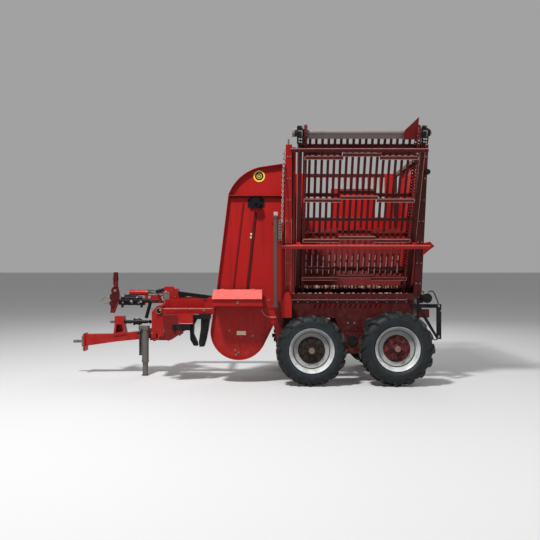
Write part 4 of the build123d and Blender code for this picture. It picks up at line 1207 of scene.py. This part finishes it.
class HARVESTER_OT_tank_trim(bpy.types.Operator):
    """Makes the tank's post webs, edge strips of wear and painted highlight, knob, soil, front wall ribs,
    gussets and bolts
    """

    bl_idname = "harvester.tank_trim"
    bl_label = "Tank trim"

    def execute(self, context):
        shop = Shop("tank_trim")
        z0, z1 = 1350, 3500
        y0, y1 = near_side_y(z0), near_side_y(z1)
        # Webs behind the near front post: a dark plate of painted shade on the post's flange, with a red
        # strip on it
        for coat, x0, x1, back in (("maroon", 636, 694, 52), ("red", 652, 682, 44)):
            low = [at(x, y0 + back, z0) for x in (x0, x1)]
            high = [at(x, y1 + back, z1) for x in (x1, x0)]
            add_plate(shop.on(coat), low + high, (0, 0.008, 0))
        # Light lines down the near front post's corners, rubbed wear and painted highlight
        edge = shop.on("edge")
        for x in (546, 633):
            low = [at(x + wide, y0 - 2, z0) for wide in (0, 4)]
            high = [at(x + wide, y1 - 2, z1 + 20) for wide in (4, 0)]
            add_plate(edge, low + high, (0, 0.003, 0))
        # Knob on the rear post, and a pin on top of the front one
        knob = seen(*KNOB_SEEN, -1040)
        black = shop.on("black")
        add_rod(black, knob + Vector((-0.05, 0, 0)), knob + Vector((0.03, 0, 0)), 0.020, segments=14)
        add_rod(black, knob + Vector((0.0, 0.02, 0)), knob + Vector((0.0, -0.03, 0)), 0.040, segments=16)
        pin = at(585, -1100, 3480)
        add_rod(shop.on("grey"), pin, pin + Vector((0, 0, 0.13)), 0.013, segments=14)
        # Spilled soil on the base rail, and a strip of painted highlight below it
        soil = random.Random(3)
        for i in range(22):
            x0 = 640 + 82 * i + soil.uniform(0, 30)
            x1, h = x0 + soil.uniform(20, 66), soil.uniform(2, 9)
            heap = ((x0, 6, 0), (x0, 30, 0), (x1, 6, 0), (x1, 30, 0), (x0 + 9, 14, h), (x1 - 9, 20, h))
            add_hull(edge, [at(x, TANK_BASE_Y + wide, z0 + up) for x, wide, up in heap])
        add_box(edge, at(650, -722, 1250), at(2400, -718, 1255))
        # Dried soil that sticks to the elevator's tail shaft
        for i in range(34):
            x = 760 + 47 * i + soil.uniform(-14, 14)
            wide, r = soil.uniform(10, 26), TAIL_SHAFT_R + soil.uniform(3, 9)
            points = []
            for turn in (150, 190, 230):
                angle = math.radians(turn + soil.uniform(-25, 15))
                for shift, share in ((-wide, 0.8), (wide, 0.8), (0, 1.0)):
                    out = r * share
                    y, z = TAIL_Y + out * math.cos(angle), TAIL_Z - out * math.sin(angle)
                    points.append(at(x + shift, y, z))
            points.append(at(x, TAIL_Y, TAIL_Z))
            add_hull(shop.on("edge" if i % 3 else "cream"), points)
        # Folded ribs on the tank's front wall, in the wall's red brightened for painted light
        for y, low in FRONT_WALL_RIBS:
            section = ((541, -34), (531, -22), (531, 22), (541, 34))
            points = [at(x, y + wide, low) for x, wide in section]
            add_plate(shop.on("wall_red"), points, (0, 0, (3470 - low) / 1000))
        # Gussets under the base at the side plates
        for x in (620, 1180, 1900, 2440):
            points = [at(x, -692, 1250), at(x, -718, 1250), at(x, -692, 1130)]
            add_plate(shop.on("shaded_red"), points, (0.008, 0, 0))
        shop.deliver()
        rows = []
        for x in range(590, 2480, 150):
            rows.append((at(x, -720, 1262), (0, 0, 1), 1.0))
            rows.append((at(x, TANK_BASE_Y, 1220), TO_NEAR, 1.0))
        for z in range(1500, 3400, 310):
            for x in (570, 612, 2530, 2590):
                rows.append((at(x, near_side_y(z) - 1, z), TO_NEAR, 0.9))
        for x in (1500, 1600):
            for z in (620, 900):
                rows.append((at(x, TANK_BASE_Y, z), TO_NEAR, 1.2))
        for y in range(-260, 1100, 120):
            rows.append((at(540, y, 3488), (-1, 0, 0), 0.9))
        bolts("tank_bolts", rows, "steel")
        return {"FINISHED"}


FRONT_BOX_Y, HOOD_Y = -562, -825
CONTROL_Z = 1338
LEVER_GRIP = (
    # X and Y as seen, radius
    (115.9, 274.4, 0.040),
    (115.8, 278.0, 0.045),
    (115.4, 282.4, 0.037),
)
CONTROL_TUBES = (
    # front X, rear X, Z, radius
    (-2105, -1760, 1250, 0.030),
    (-2125, -1500, 1212, 0.022),
    (-2060, -1840, 1288, 0.018),
)
LEVER_PIVOT = (115.0, 290.5)
LEVER_BODY = (
    # X and Y as seen, radius
    (*LEVER_PIVOT, 0.062),
    (114.2, 297.0, 0.075),
    (112.5, 303.5, 0.050),
)
CASING_PLATES = (
    # coat, Y on the machine, (left, right, top, bottom) as seen, bevel
    ("steel", -62, (163.6, 169.6, 291.5, 304), 0.002),
    ("red", -66, (170.6, 179.4, 288.8, 304.5), 0.003),
)
CASING_RODS = (
    # coat, start and end as seen, Y on the machine, radius
    ("edge", (185.0, 295.6), (191.4, 303.0), -80, 0.011),
    ("black", (156.0, 291.4), (164.0, 289.4), -50, 0.024),
    ("black", (150.4, 302.4), (146.2, 318.0), -20, 0.028),
)
FRONT_BOX_EDGE = (164.0, 212.5, 308.2, 309.0)
HOOD_PLATES = (
    # coat, (left, right, top, bottom) as seen, thickness
    ("red", (178.2, 193.0, 313.5, 323.9), 0.006),
    ("edge", (179.0, 192.6, 323.2, 323.9), 0.007),
    ("black", (172.5, 190.0, 324.4, 330.4), 0.002),
)
FRONT_BOX_NUT = (204.0, 310.5)
FRONT_BOX_BOLTS = ((152, 309), (152, 333), (163, 309), (163, 334), (176, 309.5), (190, 309.5), (216, 309.5))
CASING_SCREWS = ((171.6, 290.5), (178.4, 290.5), (171.6, 302.5), (178.4, 302.5), (175.0, 296.5))
CONTROL_FITTINGS = (
    # X and Y as seen, Y on the machine, size
    (123.0, 296.0, -70, 1.3),
    (128.0, 293.6, -60, 1.0),
    (131.5, 301.0, -54, 1.6),
    (137.0, 297.4, -70, 1.1),
    (141.0, 301.4, -54, 1.3),
    (147.0, 291.5, -46, 1.2),
    (149.5, 297.5, -46, 1.4),
    (166.0, 291.6, -66, 1.0),
)
LEVER_WIRE = (
    # X and Y as seen, Y on the machine
    (111.0, 301.5, -10),
    (108.0, 303.0, -10),
    (104.0, 303.4, -8),
    (101.8, 301.4, -6),
    (102.6, 298.6, -4),
    (106.0, 296.8, -4),
    (110.0, 296.6, -6),
    (112.0, 297.6, -10),
)
UPPER_CONTROL_HOSE = (
    # X and Y as seen, Y on the machine
    (133.0, 296.4, -30),
    (138.0, 299.0, -50),
    (146.0, 298.6, -60),
    (152.0, 302.0, -60),
    (158.0, 301.0, -70),
    (163.0, 297.0, -64),
)
LOWER_CONTROL_HOSE = (
    # X and Y as seen, Y on the machine
    (146.0, 291.5, -20),
    (151.0, 289.6, -40),
    (157.0, 292.0, -60),
    (160.0, 297.4, -62),
    (163.4, 300.0, -64),
)
CONTROL_HOSE_R = 0.008


class HARVESTER_OT_front_trim(bpy.types.Operator):
    """Makes the hand control's lever, fittings and hoses, and the front box's and hood's plates and bolts"""

    bl_idname = "harvester.front_trim"
    bl_label = "Front trim"

    def execute(self, context):
        shop = Shop("front_trim")
        black, red = shop.on("black"), shop.on("red")
        steel, maroon = shop.on("steel"), shop.on("maroon")
        # Lever grip and the forged body round its pivot
        for px, py, r in LEVER_GRIP:
            add_rod(maroon, seen(px, py + 2.2, 0), seen(px, py - 2.2, 0), r, r * 0.9, 18)
        for px, py, r in LEVER_BODY:
            add_rod(maroon, seen(px, py, -26), seen(px, py, 26), r, segments=24)
        add_rod(steel, seen(*LEVER_PIVOT, -36), seen(*LEVER_PIVOT, 36), 0.022, segments=12)
        # Control arm's tubes, lugs, clamps and the cylinder's rings and rod
        for x0, x1, z, r in CONTROL_TUBES:
            add_rod(black, at(x0, -44, z), at(x1, -44, z), r, segments=16)
        for x in (-2090, -1985, -1860, -1770, -1660):
            add_box(black, at(x, -52, 1130), at(x + 26, 40, 1246), 0.004)
        for x in (-2072, -1925, -1815):
            add_rod(steel, at(x, -58, 1176), at(x, 48, 1176), 0.017, segments=6)
        for x, r in ((-1972, 0.054), (-1700, 0.053), (-1830, 0.051)):
            add_collar(red, at(x, 0, CONTROL_Z), 0.046, r, 0.022, "X", 28)
        add_rod(steel, at(-1920, -36, 1290), at(-1920, 36, 1290), 0.018, segments=16)
        add_rod(steel, at(-1700, 0, CONTROL_Z), at(-1430, 0, CONTROL_Z), 0.019, segments=16)
        # Plates and rods of the casing in front of the gearbox
        for coat, y, corners, bevel in CASING_PLATES:
            add_sheet(shop.on(coat), y, corners, 0, 0.006, bevel)
        for coat, start, end, y, r in CASING_RODS:
            add_rod(shop.on(coat), seen(*start, y), seen(*end, y), r, segments=12)
        # A strip of painted highlight along the front box's top edge
        add_sheet(shop.on("edge"), FRONT_BOX_Y, FRONT_BOX_EDGE, 0.002)
        # Side plates of the topper hood: a red plate of painted light where it is lit, a strip of painted
        # highlight and a black plate of painted shade; and the gusset between the front box and the hood
        for coat, corners, thickness in HOOD_PLATES:
            add_sheet(shop.on(coat), HOOD_Y, corners, thickness, 0.001, 0.0005)
        add_box(red, at(-1372, -747, 700), at(-1297, -741, 1000), 0.001)
        # Hub ring with a grease cap on the front box
        hub = at(-1392, -612, 1078)
        for coat, ring in (
            ("steel", ((-0.010, 0.034), (-0.014, 0.044), (0.004, 0.050), (0.004, 0.034))),
            ("black", ((-0.018, 0.0), (-0.018, 0.030), (0.004, 0.036), (0.004, 0.0))),
        ):
            add_turned(shop.on(coat), hub, ring, 28)
        cap = hub + Vector((0.022, -0.014, 0.012))
        add_rod(shop.on("yellow"), cap, cap + Vector((0, -0.006, 0)), 0.008)
        shop.deliver()
        rows = [(seen(*FRONT_BOX_NUT, FRONT_BOX_Y), TO_NEAR, 1.6)]
        rows += [(seen(*place, FRONT_BOX_Y), TO_NEAR, 1.0) for place in FRONT_BOX_BOLTS]
        rows += [(seen(*place, -67), TO_NEAR, 0.8) for place in CASING_SCREWS]
        bolts("front_bolts", rows, "steel")
        rows = [(seen(*place), TO_NEAR, size) for *place, size in CONTROL_FITTINGS]
        bolts("control_fittings", rows, "zinc", "chassis", 0.011, 0.014)
        hoses("lever_wire", [[seen(*place) for place in LEVER_WIRE]], 0.008, "steel")
        pipes = [[seen(*place) for place in path] for path in (UPPER_CONTROL_HOSE, LOWER_CONTROL_HOSE)]
        hoses("control_hoses", pipes, CONTROL_HOSE_R, "hose")
        ends = Shop("hose_ends")
        ferrules(ends.on("zinc"), pipes, CONTROL_HOSE_R)
        ends.deliver()
        return {"FINISHED"}


SHAFT_Y, SHAFT_Z = 80, 855
SHAFT_COUPLINGS = (
    # X, radius, length
    (-2060, 0.036, 26),
    (-2015, 0.030, 60),
    (-1925, 0.058, 22),
    (-1893, 0.040, 40),
    (-1842, 0.060, 22),
    (-1780, 0.028, 90),
    (-1668, 0.030, 30),
)
JACK_X, JACK_Y, JACK_TUBE_R = -1704, -70, 0.0545
JACK_COLLARS = (
    # Z, radius, depth
    (748, 0.060, 0.048),
    (216, 0.058, 0.030),
    (560, 0.057, 0.016),
    (430, 0.0565, 0.010),
)


class HARVESTER_OT_drawbar_trim(bpy.types.Operator):
    """Makes the shaft's joints and bearings, the jack's collars, rack and crank, and the drawbar's bolts"""

    bl_idname = "harvester.drawbar_trim"
    bl_label = "Drawbar trim"

    def execute(self, context):
        shop = Shop("drawbar_trim", "drawbar", "_drawbar")
        black, steel, grey = shop.on("black"), shop.on("steel"), shop.on("grey")
        for x, r, length in SHAFT_COUPLINGS:
            add_rod(black, at(x, SHAFT_Y, SHAFT_Z), at(x + length, SHAFT_Y, SHAFT_Z), r, segments=20)
        for x in (-2290, -2262):
            add_rod(steel, at(x, SHAFT_Y, SHAFT_Z), at(x + 10, SHAFT_Y, SHAFT_Z), 0.022, segments=18)
        # The jack's collars, rack, and crank with its handle
        for z, r, depth in JACK_COLLARS:
            add_collar(grey, at(JACK_X, JACK_Y, z), JACK_TUBE_R, r, depth, "Z", 32)
        for i in range(9):
            z = 345 + 42 * i
            add_rod(black, at(-1780, -83, z), at(-1780, -72, z), 0.015, segments=12)
        add_box(grey, at(-1802, -92, 322), at(-1796, -60, 742), 0.002)
        add_rod(steel, at(-1762, JACK_Y, 775), at(-1762, -150, 775), 0.014, segments=14)
        add_rod(steel, at(-1762, -146, 775), at(-1800, -146, 690), 0.011, segments=14)
        add_rod(black, at(-1800, -140, 690), at(-1800, -200, 690), 0.016, segments=14)
        shop.deliver()
        rows = []
        for z in (420, 480, 590, 640):
            for y in (10, 150):
                rows.append((at(-2730, y, z), (-1, 0, 0), 1.4))
        for x in (-2228, -2066):
            rows.append((at(x, 2, 700), TO_NEAR, 1.0))
        bolts("drawbar_bolts", rows, "steel", "drawbar")
        return {"FINISHED"}


REAR_MOTOR = (2692, -712, 1279)
REAR_BLOCK = (418.6, 429.4, 309.2, 317.6)
LAMP_Y, LAMP_R = 706, 0.015
REAR_HOSE_R = 0.009
REAR_HOSES = (
    (
        # from the motor's top to the near lamp unit
        (2692, -740, 1340),
        (2718, -750, 1390),
        (2790, -745, 1385),
        (2830, -735, 1290),
        (2862, -720, 1230),
        (2880, -715, 1150),
    ),
    (
        # from the motor's top forward and down
        (2660, -745, 1330),
        (2640, -752, 1385),
        (2590, -745, 1370),
        (2570, -730, 1270),
        (2580, -715, 1190),
        (2580, -700, 1110),
    ),
    (
        # from the lamp unit's foot forward and up
        (2880, -715, 705),
        (2860, -715, 640),
        (2780, -712, 650),
        (2710, -712, 790),
        (2640, -712, 900),
        (2590, -700, 960),
    ),
)


class HARVESTER_OT_rear_trim(bpy.types.Operator):
    """Makes the rear motor's cap, its block and hoses, and the two lamp units"""

    bl_idname = "harvester.rear_trim"
    bl_label = "Rear trim"

    def execute(self, context):
        shop = Shop("rear_trim")
        black = shop.on("black")
        for offset, r in ((-0.052, 0.074), (-0.072, 0.052), (-0.086, 0.024)):
            add_rod(black, at(*REAR_MOTOR), at(*REAR_MOTOR) + Vector((0, offset, 0)), r, segments=24)
        add_sheet(shop.on("maroon"), REAR_MOTOR[1], REAR_BLOCK, 0, 0.06, 0.006)
        for side in (-1, 1):
            y0, y1 = sorted((side * 724, side * 688))
            add_box(black, at(2846, y0, 700), at(2908, y1, 1150), 0.010)
            for z, glass in ((1085, "yellow"), (985, "red"), (885, "red")):
                start, end = at(2895, side * LAMP_Y, z), at(2915, side * LAMP_Y, z)
                add_rod(shop.on(glass), start, end, LAMP_R, segments=20)
        paths = [[at(*place) for place in path] for path in REAR_HOSES]
        ferrules(shop.on("zinc"), paths, REAR_HOSE_R)
        shop.deliver()
        hoses("rear_hoses", paths, REAR_HOSE_R, "hose")
        return {"FINISHED"}


class HARVESTER_OT_wheel_bolts(bpy.types.Operator):
    """Makes the wheel bolts and the ring of nuts inside them"""

    bl_idname = "harvester.wheel_bolts"
    bl_label = "Wheel bolts"

    def execute(self, context):
        wheels = context.scene.harvester.wheels
        for name, body, x, side, outer_r, _carcass_r, _width in WHEELS:
            centre = Vector((x, MID + side * WHEEL_Y, outer_r))
            rows = []
            for i in range(wheels.bolt_count):
                angle = math.tau * (i + 0.5) / wheels.bolt_count
                out = Vector((math.cos(angle), 0, math.sin(angle)))
                for circle, face, size in ((wheels.bolt_circle, 0.040, 1.2), (HUB_NUT_CIRCLE, 0.041, 1.1)):
                    rows.append((centre + out * circle + Vector((0, side * face, 0)), (0, side, 0), size))
            bolts(f"wheel_bolts_{name}", rows, "black" if "front" in name else "maroon", body, 0.011, 0.012)
        return {"FINISHED"}


class HARVESTER_OT_stage(bpy.types.Operator):
    """Makes the floor, the lights and the camera"""

    bl_idname = "harvester.stage"
    bl_label = "Stage"

    def execute(self, context):
        scene = context.scene
        bm = bmesh.new()
        bmesh.ops.create_grid(bm, x_segments=1, y_segments=1, size=400)
        floor = bpy.data.objects.new("floor", mesh_of(bm, "floor"))
        scene.collection.objects.link(floor)
        floor.location.z = -0.001
        coat = Coat("pale floor", (0.55, 0.55, 0.55), 0.9)
        floor.data.materials.append(coat.done())
        world = bpy.data.worlds.new("soft studio")
        world.use_nodes = True
        world.node_tree.nodes["Background"].inputs[0].default_value = (1, 1, 1, 1)
        world.node_tree.nodes["Background"].inputs[1].default_value = 0.36
        scene.world = world
        for label, place, size, power in (
            ("key light", (-3.0, -6.1, 11.1), 1.2, 1900),
            ("fill light", (7.5, -7.0, 4.0), 6.0, 150),
            ("rear light", (2.0, 8.0, 7.0), 6.0, 300),
        ):
            data = bpy.data.lights.new(label, "AREA")
            data.energy = power
            data.size = size
            lamp = bpy.data.objects.new(label, data)
            scene.collection.objects.link(lamp)
            lamp.location = place
            toward = Vector((0.2, 0, 1.3)) - Vector(place)
            lamp.rotation_euler = toward.to_track_quat("-Z", "Y").to_euler()
        data = bpy.data.cameras.new("camera")
        data.sensor_width = 36
        data.lens = FOCAL * data.sensor_width / (2 * HALF_FRAME)
        data.clip_end = 1000
        camera = bpy.data.objects.new("camera", data)
        scene.collection.objects.link(camera)
        camera.location = at(CAMERA_X, -CAMERA_BACK, CAMERA_Z)
        camera.rotation_euler = (math.radians(90), 0, 0)
        scene.camera = camera
        scene.view_settings.view_transform = "Standard"
        return {"FINISHED"}


class HARVESTER_PT_panel(bpy.types.Panel):
    """Shows the harvester's settings and the buttons of its operators"""

    bl_idname = "HARVESTER_PT_panel"
    bl_label = "Harvester"
    bl_space_type = "VIEW_3D"
    bl_region_type = "UI"
    bl_category = "Harvester"

    def draw(self, context):
        settings = context.scene.harvester
        for group in (settings.colours, settings.wheels):
            for key in group.bl_rna.properties.keys():
                if key not in ("rna_type", "name"):
                    self.layout.prop(group, key)
        for operator in OPERATORS:
            self.layout.operator(operator.bl_idname)


OPERATORS = (
    HARVESTER_OT_finishes,
    HARVESTER_OT_tyres,
    HARVESTER_OT_rims,
    HARVESTER_OT_wheel_bolts,
    HARVESTER_OT_housing_trim,
    HARVESTER_OT_toolbox_trim,
    HARVESTER_OT_lifting_chain,
    HARVESTER_OT_elevator_trim,
    HARVESTER_OT_tank_trim,
    HARVESTER_OT_front_trim,
    HARVESTER_OT_drawbar_trim,
    HARVESTER_OT_rear_trim,
    HARVESTER_OT_stage,
)
GROUPS = (HarvesterColours, HarvesterWheels, Harvester)


def register():
    for item in (*GROUPS, *OPERATORS, HARVESTER_PT_panel):
        bpy.utils.register_class(item)
    bpy.types.Scene.harvester = PointerProperty(type=Harvester)


def unregister():
    del bpy.types.Scene.harvester
    for item in reversed((*GROUPS, *OPERATORS, HARVESTER_PT_panel)):
        bpy.utils.unregister_class(item)


def main():
    register()
    bpy.ops.harvester.finishes()
    bpy.ops.harvester.tyres()
    bpy.ops.harvester.rims()
    bpy.ops.harvester.wheel_bolts()
    bpy.ops.harvester.housing_trim()
    bpy.ops.harvester.toolbox_trim()
    bpy.ops.harvester.lifting_chain()
    bpy.ops.harvester.elevator_trim()
    bpy.ops.harvester.tank_trim()
    bpy.ops.harvester.front_trim()
    bpy.ops.harvester.drawbar_trim()
    bpy.ops.harvester.rear_trim()
    bpy.ops.harvester.stage()


if __name__ == "__main__":
    main()
